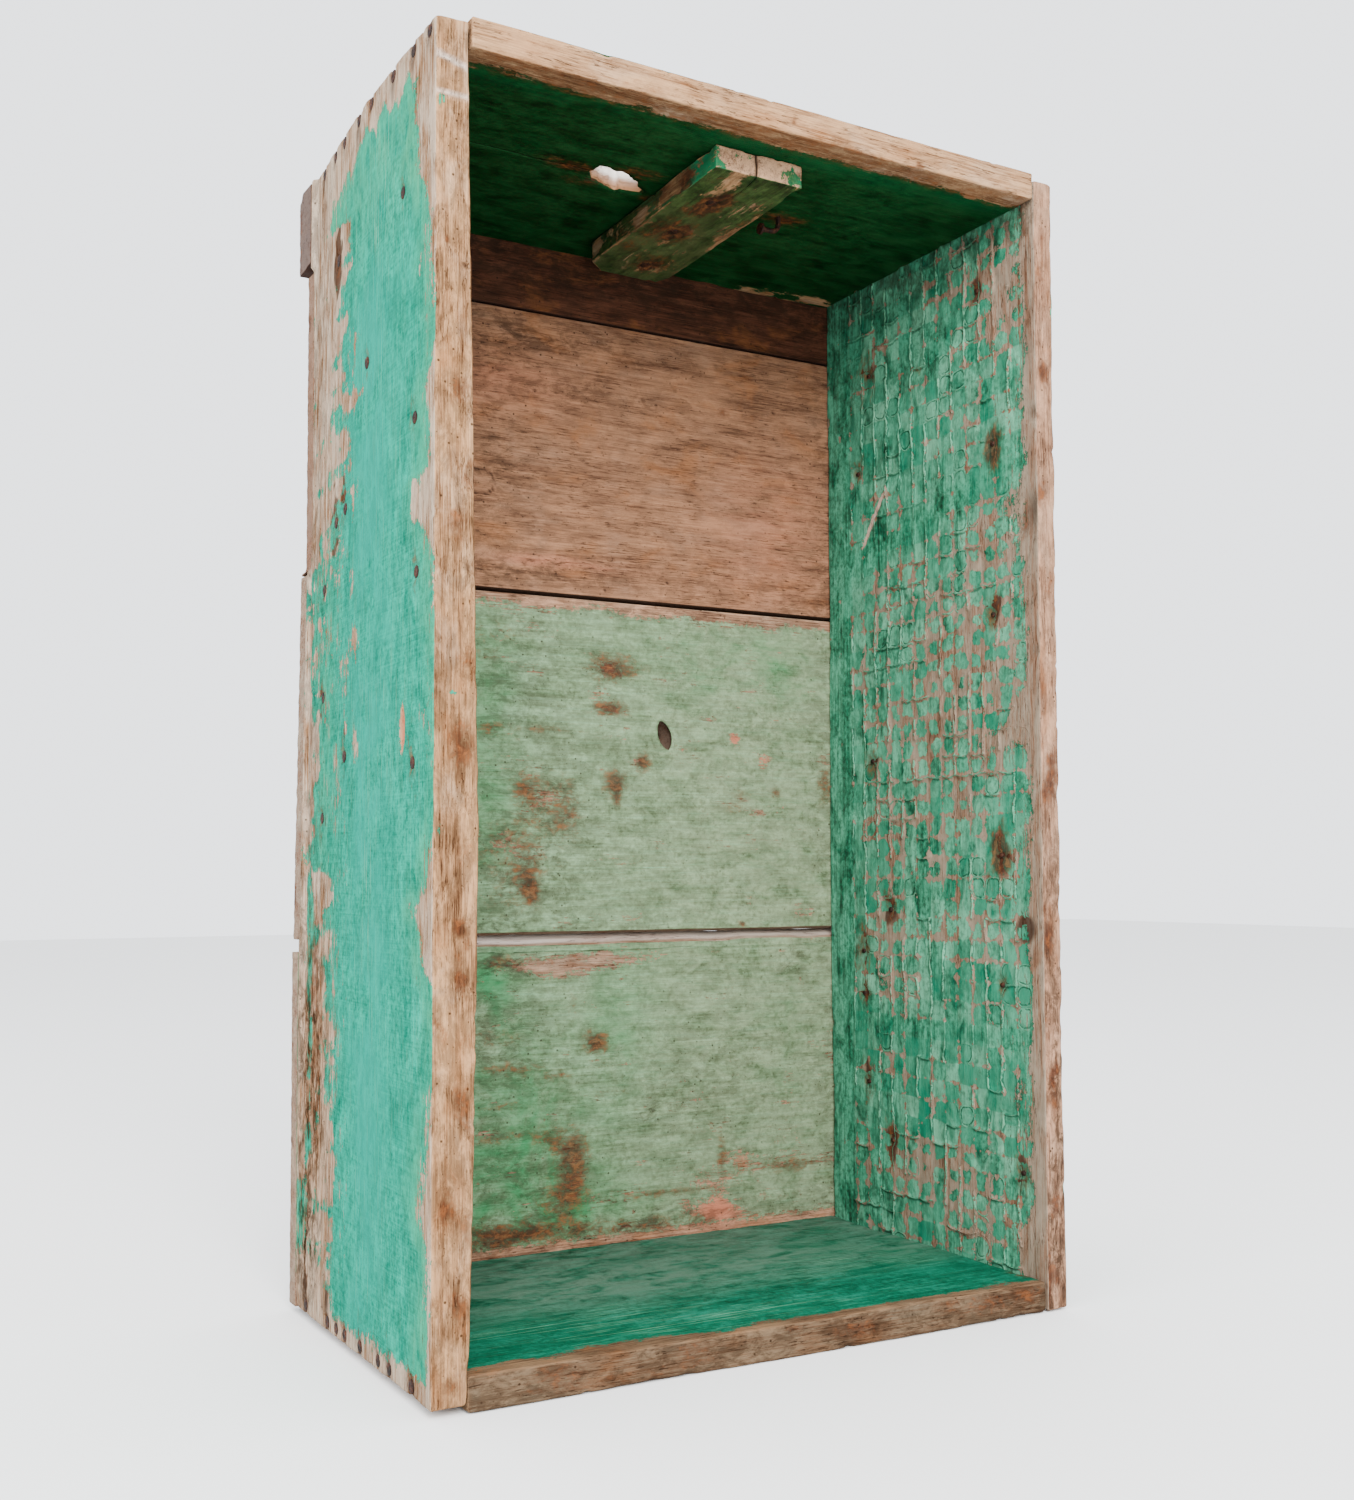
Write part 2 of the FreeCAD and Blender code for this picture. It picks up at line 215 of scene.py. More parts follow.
class Board:
    """A board that stands for one CAD node, as a lattice in millimetres.

    axes names the world axes of its length, width and thickness.  corners are its lowest and
    highest corner where they aren't the node's own.  holes are closed outlines along the length
    and width, and cracks are (start, end, place across) along the length.  points are its
    surface, and normals point out of the wood."""

    def __init__(self, node, axes, seed, pitch=BOARD_PITCH, arris=1.6, corners=None, holes=(),
                 cracks=(), lines=(None, None)):
        self.node = node
        self.seed = seed
        self.axes = ["XYZ".index(a) for a in axes]
        self.lo, self.hi = (np.array(corner, float) for corner in corners or box_of(node))
        size = (self.hi - self.lo)[self.axes]
        origin = self.lo[self.axes]
        u = spaced(size[0], pitch) if lines[0] is None else lines[0]
        v = spaced(size[1], pitch) if lines[1] is None else lines[1]
        for start, end, across in cracks:
            edges = np.array((across - CRACK_HALF, across + CRACK_HALF)) - origin[1]
            v = v[np.abs(v - edges.mean()) > 2 * CRACK_HALF]
            v = np.sort(np.concatenate([v, edges]))
        middle_u = (0.5 * (u[1:] + u[:-1]) + origin[0])[:, None]
        middle_v = (0.5 * (v[1:] + v[:-1]) + origin[1])[None, :]
        gone = np.zeros((len(u) - 1, len(v) - 1), bool)
        for outline in holes:
            gone |= inside_outline(middle_u, middle_v, outline)
        hole_cells = gone.copy()
        for start, end, across in cracks:
            gone |= (middle_u > start) & (middle_u < end) & (np.abs(middle_v - across) < CRACK_HALF)
        local, self.quads, rim = lattice([u, v, spaced(size[2], LAYER_PITCH)], gone)
        for outline in holes:
            near = rim & near_cells(local, u, v, hole_cells)
            at = local[near][:, :2] + origin[:2]
            local[near, :2] = nearest_on(at, outline) - origin[:2]
        self.shape(local, size, arris)
        self.layers = {}

    def shape(self, local, size, arris):
        """Rounds the arrises, more in some places than others, and sets points and normals."""
        wear = 1 + 0.5 * noise(local, (55, 55, 55), self.seed + 90)
        wear = wear * (1 + 0.4 * noise(local, (9, 9, 9), self.seed + 91))
        radius = np.clip(arris * wear, 0.3, size.min() * 0.45)[:, None]
        core = np.clip(local, radius, size - radius)
        out = local - core
        length = np.linalg.norm(out, axis=1, keepdims=True)
        unit = out / np.maximum(length, 1e-6)
        surface = core + unit * np.minimum(length, radius)
        self.points = np.empty_like(surface)
        self.normals = np.empty_like(surface)
        for place, axis in enumerate(self.axes):
            self.points[:, axis] = surface[:, place] + self.lo[axis]
            self.normals[:, axis] = unit[:, place]
        if np.linalg.det(np.eye(3)[self.axes]) < 0:
            self.quads = self.quads[:, ::-1]

    def xyz(self):
        return self.points.T

    def noise(self, cell, seed):
        return noise(self.points, cell, seed)

    def rough(self, cell, seed, octaves=3):
        return rough(self.points, cell, seed, octaves)

    def dents(self, cell, seed, depth, above=0.3):
        """How deep hollows go in where they are knocked into the wood."""
        return clamp(noise(self.points, cell, seed) - above) * depth

    def facing(self, direction, sharp=0.55):
        """1 where the surface faces a direction such as "-X", 0 where it doesn't."""
        sign = -1 if direction[0] == "-" else 1
        return ease(sign * self.normals[:, "XYZ".index(direction[1])], sharp, sharp + 0.3)

    def sink(self, depth):
        """Moves the surface into the wood."""
        self.points -= self.normals * np.asarray(depth)[:, None]

    def arris_near(self, reach):
        """1 on the arrises, 0 further than reach from any."""
        gaps = np.minimum(self.points - self.lo, self.hi - self.points)
        return 1 - ease(np.sort(gaps, axis=1)[:, 1], 0, reach)

    def weather(self, grain=0.16, waves=0.35, chips=0.9):
        """Raised grain, wandering faces and ragged arrises."""
        fine = np.full(3, 2.2)
        fine[self.axes[0]] = 70.0
        broad = np.full(3, 40.0)
        broad[self.axes[0]] = 160.0
        depth = 0.6 * grain * (1 + rough(self.points, fine, self.seed + 20, 2))
        depth += waves * (0.5 + 0.5 * noise(self.points, broad, self.seed + 30))
        broken = ease(noise(self.points, (7, 7, 7), self.seed + 40), 0.45, 0.9)
        self.sink(depth + chips * broken * self.arris_near(5.0))

    def nail_marks(self, reach=9.0, stretch=1.7):
        """Sinks a crater round each nail that meets the surface; returns the stain round it,
        which is drawn out along the grain."""
        crater = np.zeros(len(self.points))
        stain = np.zeros(len(self.points))
        cell = np.full(3, 4.0)
        cell[self.axes[0]] = 11.0
        tear = rough(self.points, cell, self.seed + 60, 3)
        for number, (middle, direction) in enumerate(NAIL_MARKS):
            away = self.points - middle
            depth = np.abs(away @ direction)
            flat = np.sqrt(np.clip((away**2).sum(1) - depth**2, 0, None))
            near = (depth < 3.0) & (flat < 3 * reach)
            torn = 1 + 0.45 * tear
            grain = away[:, self.axes[0]] * torn
            across = np.sqrt(np.clip(flat**2 - away[:, self.axes[0]]**2, 0, None)) * torn
            crater = np.maximum(crater, near * clamp(1 - (flat / 5.2) ** 4))
            size = reach * (0.7 + 0.6 * ((number * 7919) % 97) / 97)
            stain = np.maximum(stain, near * spot(across, grain, size, stretch))
        self.sink(crater)
        return stain

    def finish(self, material, slot):
        """Makes the Blender object, which stands for the CAD node."""
        lo, hi = np.array(CAD_BOX) * MM_PER_METRE - CORNER
        return add_mesh(self.node + "_worn", np.clip(self.points, lo, hi), self.quads,
                        self.layers, material, [self.node])


def near_cells(local, u, v, cells):
    """Which lattice points touch one of the marked cells."""
    around = np.pad(cells, 1)
    i = np.searchsorted(u, local[:, 0] - 1e-6)
    j = np.searchsorted(v, local[:, 1] - 1e-6)
    return around[i, j] | around[i + 1, j] | around[i, j + 1] | around[i + 1, j + 1]


def leaned(points):
    """The upper back corner of the left side leans in.  Moves points that way, in mm."""
    x, y, z = points.T
    side = np.interp(z, *np.transpose(SIDE_LEAN)) * clamp((y - LEAN_START) / LEAN_DEPTH) ** 1.3
    back = np.interp(z, *np.transpose(BACK_LEAN))
    moved = points.copy()
    moved[:, 0] += np.where(y > BACK_PLANE, back, side) * clamp(1 - x / LEAN_REACH)
    return moved


def add_mesh(name, points, faces, layers, material, nodes):
    """A mesh object from millimetre points, with its float attributes, riding on the box."""
    mesh = bpy.data.meshes.new(name)
    mesh.vertices.add(len(points))
    place = (leaned(points) + CORNER) * TO_METRES
    mesh.vertices.foreach_set("co", place.astype(np.float32).ravel())
    corners = faces.shape[1]
    mesh.loops.add(faces.size)
    mesh.loops.foreach_set("vertex_index", faces.astype(np.int32).ravel())
    mesh.polygons.add(len(faces))
    mesh.polygons.foreach_set("loop_start", np.arange(0, faces.size, corners, dtype=np.int32))
    mesh.polygons.foreach_set("use_smooth", np.ones(len(faces), bool))
    for layer, values in layers.items():
        attribute = mesh.attributes.new(layer, "FLOAT", "POINT")
        attribute.data.foreach_set("value", np.asarray(values, np.float32))
    mesh.update()
    mesh.materials.append(material)
    piece = bpy.data.objects.new(name, mesh)
    bpy.context.scene.collection.objects.link(piece)
    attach(piece, "root")
    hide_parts(*nodes)
    return piece


# ---- nails, read from the CAD nodes --------------------------------------------------------
def nails_of(node):
    """Each nail of a CAD node, as (middle of its head's face, direction driven, length)."""
    work = bmesh.new()
    work.from_mesh(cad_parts[node].data)
    bmesh.ops.remove_doubles(work, verts=work.verts, dist=1e-5)
    work.verts.ensure_lookup_table()
    seen = set()
    found = []
    for start in work.verts:
        if start.index in seen:
            continue
        island, queue = [], [start]
        seen.add(start.index)
        while queue:
            vert = queue.pop()
            island.append(vert.co[:])
            for edge in vert.link_edges:
                other = edge.other_vert(vert)
                if other.index not in seen:
                    seen.add(other.index)
                    queue.append(other)
        points = np.array(island) * MM_PER_METRE - CORNER
        lo, hi = points.min(0), points.max(0)
        axis = int(np.argmax(hi - lo))
        spans = []
        for end in (lo[axis], hi[axis]):
            spans.append(np.ptp(points[np.abs(points[:, axis] - end) < 0.3], axis=0).max())
        at_low = spans[0] > spans[1]
        head = 0.5 * (lo + hi)
        head[axis] = lo[axis] if at_low else hi[axis]
        direction = np.zeros(3)
        direction[axis] = 1 if at_low else -1
        found.append((head, direction, hi[axis] - lo[axis]))
    work.free()
    return found


NAILS = {node: nails_of(node) for node in sorted(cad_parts) if "nails" in node}
NAIL_MARKS = []
for nail_node, group in NAILS.items():
    for nail_head, nail_direction, nail_length in group:
        NAIL_MARKS.append((nail_head, nail_direction))
        if "old" in nail_node:
            NAIL_MARKS.append((nail_head + nail_direction * nail_length, nail_direction))


# ---- materials -----------------------------------------------------------------------------
def srgb(red, green, blue):
    """A colour given as 0 to 255 screen values, as linear light."""
    linear = []
    for value in (red, green, blue):
        value = value / 255
        linear.append(value / 12.92 if value < 0.04045 else ((value + 0.055) / 1.055) ** 2.4)
    return (*linear, 1.0)


class Shader:
    """A short hand for building one material's node tree."""

    def __init__(self, name):
        self.material = bpy.data.materials.new(name)
        self.material.use_nodes = True
        self.tree = self.material.node_tree
        self.surface = self.tree.nodes["Principled BSDF"]
        self.coords = self.tree.nodes.new("ShaderNodeTexCoord").outputs["Object"]
        self.shift = 0.0

    def put(self, socket, value):
        """Joins the value to a socket, or sets it there."""
        if isinstance(value, bpy.types.NodeSocket):
            self.tree.links.new(value, socket)
        else:
            socket.default_value = value

    def fill(self, node, **inputs):
        """Puts values in a node's named inputs.  A low line stands for a space."""
        for name, value in inputs.items():
            self.put(node.inputs[name.replace("_", " ")], value)
        return node

    def add(self, kind, **inputs):
        return self.fill(self.tree.nodes.new("ShaderNode" + kind), **inputs)

    def attribute(self, name):
        node = self.add("Attribute")
        node.attribute_name = name
        return node.outputs["Fac"]

    def scaled(self, cell):
        """Coordinates that run one unit per lump.  Each call lands somewhere else."""
        self.shift += 3.7
        place = (self.shift, self.shift * 1.7, self.shift * 0.6)
        scale = [MM_PER_METRE / size for size in cell]
        return self.add("Mapping", Vector=self.coords, Scale=scale, Location=place).outputs[0]

    def noise(self, cell, detail=4.0, roughness=0.55, distortion=0.0):
        """Noise texture whose lumps have this size in mm along X, Y and Z."""
        node = self.add("TexNoise", Vector=self.scaled(cell), Scale=1.0, Detail=detail,
                        Roughness=roughness, Distortion=distortion)
        return node.outputs["Fac"]

    def specks(self, spacing, radius):
        """Scattered round spots, about one in every cell of that many mm."""
        node = self.add("TexVoronoi", Vector=self.scaled((spacing, spacing, spacing)), Scale=1.0)
        return self.between(node.outputs["Distance"], radius / spacing, 0.5 * radius / spacing)

    def math(self, operation, first, second=0.0, third=0.0):
        node = self.add("Math")
        node.operation = operation
        for socket, value in zip(node.inputs, (first, second, third)):
            self.put(socket, value)
        return node.outputs[0]

    def times(self, first, *others):
        for other in others:
            first = self.math("MULTIPLY", first, other)
        return first

    def most(self, first, *others):
        """The largest of some values."""
        for other in others:
            first = self.math("MAXIMUM", first, other)
        return first

    def line(self, value, slope, start):
        """value times slope, plus start."""
        return self.math("MULTIPLY_ADD", value, slope, start)

    def swing(self, noise, amount, start):
        """A value pushed up and down by a noise that wanders round 0.5."""
        return self.line(self.math("SUBTRACT", noise, 0.5), amount, start)

    def blend_of(self, *parts):
        """A weighted sum of noises, still round 0.5 where the weights add up to 1."""
        total = 0.0
        for weight, value in parts:
            total = self.line(value, weight, total)
        return total

    def between(self, value, low, high):
        """0 where value is at low, 1 where it is at high."""
        node = self.add("MapRange", From_Min=low, From_Max=high)
        node.interpolation_type = "SMOOTHSTEP"
        self.put(node.inputs["Value"], value)
        return node.outputs[0]

    def ramp(self, value, *stops):
        """Colours along a value, as (position, colour) stops."""
        node = self.add("ValToRGB", Fac=value)
        elements = node.color_ramp.elements
        while len(elements) < len(stops):
            elements.new(0.5)
        for element, (position, colour) in zip(elements, stops):
            element.position = position
            element.color = colour
        return node.outputs["Color"]

    def mix(self, amount, first, second):
        """A colour that goes from first to second as amount goes from 0 to 1."""
        node = self.add("Mix")
        node.data_type = "RGBA"
        for number, value in ((0, amount), (6, first), (7, second)):
            self.put(node.inputs[number], value)
        return node.outputs[2]

    def tinged(self, colour, layer, pattern, low, high, shade):
        """The colour turned to shade where an attribute is high, broken up by a pattern."""
        amount = self.times(self.attribute(layer), self.between(pattern, low, high))
        return self.mix(amount, colour, shade)

    def bump(self, height, distance):
        """Relief of this many metres."""
        bumps = self.add("Bump", Distance=distance, Height=height)
        self.fill(self.surface, Normal=bumps.outputs[0])


def along_grain(axis, long, thin):
    """Lump sizes for noise that runs with the grain."""
    cell = [thin, thin, thin]
    cell["XYZ".index(axis)] = long
    return cell


RUST = (srgb(30, 13, 7), srgb(58, 29, 17), srgb(98, 56, 30))
# the dark colour of dirt, and of the painted shade that the dirt layer also carries
GRIME_AND_SHADE = srgb(32, 20, 11)
SALMON = srgb(150, 90, 68)
# pale mint of the scratches, and of the painted highlight on the wire print's raised lines
MINT = srgb(96, 150, 118)
KNOT = srgb(36, 19, 12)
RESIN = srgb(124, 74, 38)
CHALK = srgb(212, 204, 196)


def old_timber(s, grain, wood):
    """Weathered wood: grain, blotches, resin, short dark checks and knots.  Returns its colour
    and its relief.  The attributes are pale, salmon, bleached, grey and knot."""
    fibre = s.noise(along_grain(grain, 24.0, 0.6), 4.0, 0.7, 0.3)
    streak = s.noise(along_grain(grain, 75.0, 3.4), 5.0, 0.6, 0.9)
    blotch = s.noise(along_grain(grain, 46.0, 17.0), 6.0, 0.62, 0.9)
    dark, middle, light, grey = wood
    tone = s.blend_of((0.4, fibre), (0.28, streak), (0.32, blotch))
    colour = s.ramp(tone, (0.37, dark), (0.47, middle), (0.59, light))
    hue = s.noise(along_grain(grain, 40.0, 24.0), 5.0, 0.6, 0.5)
    colour = s.mix(s.times(s.between(hue, 0.53, 0.68), 0.35), colour, RESIN)
    greyed = s.line(s.between(hue, 0.5, 0.36), 0.3, s.attribute("grey"))
    greys = s.ramp(tone, (0.36, dark), (0.44, middle), (0.53, grey))
    colour = s.mix(s.math("MINIMUM", greyed, 0.9), colour, greys)
    colour = s.tinged(colour, "pale", tone, 0.4, 0.56, light)
    colour = s.tinged(colour, "salmon", blotch, 0.3, 0.55, SALMON)
    colour = s.tinged(colour, "bleached", streak, 0.2, 0.5, CHALK)
    check = s.noise(along_grain(grain, 9.0, 0.9), 4.0, 0.65, 0.5)
    checks = s.times(s.between(check, 0.58, 0.66), s.between(blotch, 0.62, 0.46))
    colour = s.mix(s.times(checks, 0.8), colour, dark)
    knot = s.between(s.attribute("knot"), 0.05, 0.8)
    colour = s.mix(s.times(knot, 0.8), colour, KNOT)
    return colour, s.blend_of((1.0, fibre), (-0.8, checks), (0.5, streak))


def worn_paint(s, grain, paint, calm, sawn):
    """Old paint, as (deep, body, bright, faded, accent) colours.  calm above 1 evens it out, and
    sawn shows level saw marks.  Returns its colour and relief, and the mottle and blotches in
    it.  The attributes are tint, fade and scratch."""
    deep, body, bright, faded, accent = paint
    blotch = s.noise(along_grain(grain, 26.0, 13.0), 6.0, 0.66, 0.6)
    mottle = s.noise((3.0, 3.0, 3.0), 5.0, 0.65, 0.3)
    brush = s.noise(along_grain(grain, 50.0, 1.5), 4.0, 0.65)
    cloud = s.noise((48.0, 48.0, 48.0), 5.0, 0.6, 0.7)
    if sawn:
        brush = s.blend_of((0.45, brush), (0.55, s.noise((40.0, 40.0, 0.9), 3.0, 0.6, 0.2)))
    tone = s.blend_of((0.3, mottle), (0.3, brush), (0.4, blotch))
    colour = s.ramp(tone, (0.49 - 0.08 * calm, deep), (0.49, body), (0.49 + 0.09 * calm, bright))
    colour = s.tinged(colour, "tint", cloud, 0.3, 0.62, accent)
    colour = s.tinged(colour, "fade", blotch, 0.28, 0.62, faded)
    lines = s.noise(along_grain(grain, 42.0, 0.9), 3.0, 0.6, 0.2)
    scratches = s.times(s.between(lines, 0.55, 0.66), s.attribute("scratch"))
    colour = s.mix(s.times(scratches, 0.75), colour, MINT)
    dull = s.times(s.between(mottle, 0.5, 0.36), s.between(cloud, 0.62, 0.42), 0.3)
    return s.mix(dull, colour, deep), s.blend_of((0.6, mottle), (0.4, brush)), mottle, blotch


def board_material(name, grain, wood, paint, wires=False, ragged=7.0, soft=0.35, gloss=0.1,
                   calm=1.0, sawn=False):
    """Old timber under worn paint.  grain is the axis the wood runs along.  wires adds the print
    of wire mesh, with its painted highlight and painted shade, ragged roughens the paint's
    edge, soft blurs it, and gloss is how much it mirrors.  The attribute paint has the paint's
    edge at 0.5, thin is how far it is worn through, and rust and dirt lie over everything; the
    dirt layer also carries painted shade."""
    s = Shader(name)
    deep, faded = paint[0], paint[3]
    timber, timber_relief = old_timber(s, grain, wood)
    coat_colour, coat_relief, mottle, blotch = worn_paint(s, grain, paint, calm, sawn)
    inside = s.times(s.math("SUBTRACT", s.attribute("paint"), 0.5), PAINT_RANGE)
    flake = s.noise(along_grain(grain, 11.0, 3.2), 7.0, 0.74, 0.4)
    crumb = s.noise((2.4, 2.4, 2.4), 4.0, 0.7, 0.3)
    edge = s.swing(crumb, ragged * 2.2, s.swing(flake, ragged * 3.0, inside))
    rubbed = s.between(s.noise(along_grain(grain, 22.0, 1.3), 5.0, 0.7, 0.3), 0.5, 0.62)
    rubbed = s.times(rubbed, s.between(blotch, 0.44, 0.56), s.attribute("thin"))
    edge = s.line(rubbed, -14.0, edge)
    ridge_and_highlight = 0.0
    if wires:
        ridge_and_highlight, shade, edge = wire_print(s, edge)
        # painted shade beside the raised lines and inside the loops
        coat_colour = s.mix(s.times(shade, 0.75), coat_colour, deep)
        # painted highlight on the raised lines and loops
        coat_colour = s.mix(s.times(ridge_and_highlight, 0.7), coat_colour, MINT)
        # a dark rim inside each patch of paint: painted shade round the cells
        coat_colour = s.mix(s.times(s.between(edge, 2.2, 0.3), 0.55), coat_colour, deep)
    coated = s.between(edge, -soft, soft)
    rim = s.times(s.between(edge, 1.4, 0.2), 0.0 if wires else 0.4)
    colour = s.mix(coated, timber, s.mix(rim, coat_colour, faded))

    # the dirt layer holds dirt, and also painted shade in the box's corners and under the top board
    grime = s.noise(along_grain(grain, 15.0, 7.0), 7.0, 0.76, 0.5)
    dirt_and_shade = s.times(s.attribute("dirt_and_shade"), s.between(grime, 0.4, 0.6))
    spots = s.specks(7.0, 0.9)
    spots = s.most(spots, s.times(s.specks(2.6, 0.55), s.between(grime, 0.48, 0.56)))
    spots = s.times(spots, s.between(s.attribute("dirt_and_shade"), 0.05, 0.5), 0.85)
    # darkened by dirt and specks, and by the painted shade held in the dirt layer
    colour = s.mix(s.most(s.times(dirt_and_shade, 0.8), spots), colour, GRIME_AND_SHADE)
    smear = s.noise(along_grain(grain, 7.0, 4.0), 6.0, 0.72, 0.5)
    rust = s.between(s.swing(smear, 1.6, s.attribute("rust")), 0.1, 0.85)
    rust = s.times(rust, s.between(s.attribute("rust"), 0.02, 0.3))
    rusty = s.ramp(smear, *zip((0.38, 0.5, 0.64), RUST))
    colour = s.mix(s.times(rust, 0.85), colour, rusty)

    satin = s.times(coated, s.line(mottle, 0.35, 0.38))
    dull_wood = s.times(s.math("SUBTRACT", 1.0, coated), s.line(timber_relief, 0.1, 0.78))
    roughness = s.most(s.math("ADD", satin, dull_wood), s.times(rust, 0.9))
    s.fill(s.surface, Base_Color=colour, Roughness=roughness, Specular_IOR_Level=gloss)
    covered = s.times(timber_relief, s.line(coated, -0.5, 1.0))
    s.bump(s.blend_of((0.4, covered), (0.4, coated), (0.3, coat_relief), (0.8, ridge_and_highlight),
                      (-0.15, dirt_and_shade), (0.15, rust)), 0.0007)
    return s.material


def wire_print(s, edge):
    """The print that square wire mesh left in the paint: a raised line with a painted highlight on
    it and painted shade on one side, where the attribute standing (up and down) or lying (level)
    is high, a loop round the mesh with a painted highlight outside and painted shade inside,
    where looped is, and rounded patches of paint between bare lines, as wide as bared says."""
    wobble = s.times(s.math("SUBTRACT", s.noise((5.0, 5.0, 5.0), 3.0, 0.6), 0.5), 2.6)
    offsets, near, rounded = [], [], 0.0
    for name, pitch in (("wire_y", WIRE_PITCH_Y), ("wire_z", WIRE_PITCH_Z)):
        place = s.math("SUBTRACT", s.math("FRACT", s.attribute(name)), 0.5)
        offsets.append(s.line(place, pitch, wobble))
        near.append(s.math("ABSOLUTE", offsets[-1]))
        from_middle = s.most(s.math("SUBTRACT", pitch / 2, near[-1]), 0.0)
        rounded = s.math("ADD", rounded, s.math("POWER", from_middle, 3.0))
    rounded = s.math("POWER", rounded, 1 / 3)
    standing, lying = s.attribute("standing"), s.attribute("lying")
    broken = s.between(s.noise((6.0, 6.0, 6.0), 4.0, 0.7, 0.4), 0.4, 0.52)
    looped = s.times(s.attribute("looped"), broken)

    def ring(radius, width):
        """A rounded outline at this distance from the middle of each mesh."""
        away = s.math("ABSOLUTE", s.math("SUBTRACT", rounded, radius))
        return s.times(s.between(away, width, 0.2), looped)

    def side(offset, start, full, fading, gone, kind):
        """The painted shade on one side of a line, from start to gone."""
        return s.times(s.between(offset, start, full), s.between(offset, gone, fading), kind)

    upright = s.times(s.between(near[0], 0.7, 0.2), standing, broken)
    level = s.times(s.between(near[1], 0.6, 0.2), lying, broken)
    behind = side(offsets[0], -0.5, -0.9, -1.1, -2.0, standing)
    below = side(offsets[1], -0.3, -0.8, -1.2, -2.2, lying)
    loop = ring(6.1, 0.6)
    # the raised lines and the outer loop also carry a painted highlight; the inner loop is painted
    # shade
    ridge_and_highlight = s.most(upright, s.times(level, 0.45), s.times(loop, 0.6))
    shade = s.most(s.times(behind, 0.8), s.times(below, 0.7), ring(5.2, 0.55))
    spread = s.noise((19.0, 19.0, 19.0), 3.0, 0.6, 0.4)
    crumbs = s.noise((3.2, 3.2, 3.2), 4.0, 0.7, 0.3)
    radius = s.blend_of((-16.0, spread), (-7.0, crumbs), (-6.5, s.attribute("bared")))
    radius = s.math("ADD", radius, 21.3)
    groove = s.between(s.math("SUBTRACT", rounded, radius), -0.3, 0.3)
    groove = s.times(groove, s.math("SUBTRACT", 1.0, s.most(loop, upright, level)))
    return ridge_and_highlight, shade, s.line(groove, -18.0, edge)


def rusty_iron():
    """Rough, nearly black iron with brown scale."""
    s = Shader("rusty_iron")
    scale = s.noise((1.6, 1.6, 1.6), 6.0, 0.7, 0.4)
    patch = s.noise((5.0, 5.0, 5.0), 3.0, 0.6, 0.3)
    tone = s.blend_of((0.5, patch), (0.5, scale))
    colour = s.ramp(tone, (0.4, srgb(14, 7, 4)), (0.5, srgb(34, 17, 10)), (0.62, srgb(70, 37, 22)))
    s.fill(s.surface, Base_Color=colour, Roughness=s.line(scale, 0.4, 0.5), Metallic=0.1,
           Specular_IOR_Level=0.15)
    s.bump(tone, 0.0006)
    return s.material


# ---- paint fields --------------------------------------------------------------------------
def coat(distance):
    """The paint attribute from a distance inside the paint's edge, in mm."""
    return clamp(0.5 + distance / PAINT_RANGE)


def by_face(*painted):
    """The paint attribute from (facing, distance) pairs.  The first face that a point is on
    counts, and the other faces are bare."""
    found = BARE
    for facing, distance in reversed(painted):
        found = np.where(facing > 0.5, distance, found)
    return coat(found)


def along(value, outline):
    """Reads an edge given as (place, value) with rising places."""
    places, values = np.array(outline, float).T
    return np.interp(value, places, values)


def patches(a, b, spots):
    """The sum of soft round patches (a, b, radius along a, radius along b, strength)."""
    total = np.zeros(len(a))
    for middle_a, middle_b, radius_a, radius_b, strength in spots:
        away = ((a - middle_a) / radius_a) ** 2 + ((b - middle_b) / radius_b) ** 2
        total += strength * np.exp(-away)
    return total


# ---- the left side board -------------------------------------------------------------------
# Where the outer paint ends in front and at the back, as (height, Y), and how far the inner
# front arris stands out, as (height, mm).
LEFT_PAINT_FRONT = (
    (37, 6), (73, 4), (93, 14), (140, 1), (159, -6), (195, -6), (203, 8), (231, 21), (245, 9),
    (277, -6), (295, -11), (346, -11), (371, -3), (399, -2), (422, 19), (440, 21), (444, 7),
    (469, 8), (480, 12), (514, -5), (542, 6), (567, 6), (594, 23), (625, 23.5),
)
LEFT_PAINT_BACK = (
    (5, 150), (40, 153), (104, 151), (120, 150), (189, 151), (200, 158), (245, 156),
    (256, 200), (360, 208), (440, 190), (460, 128), (495, 138), (515, 143), (530, 163),
    (560, 166), (578, 140), (606, 138), (614, 186), (621, 184), (641, 120), (652, 95),
)
LEFT_INNER_ARRIS = (
    (4, 0), (38, 1.9), (142, 3.9), (273, 5.4), (397, 3.2), (474, 2.0), (522, 1.3), (646, -0.9),
)


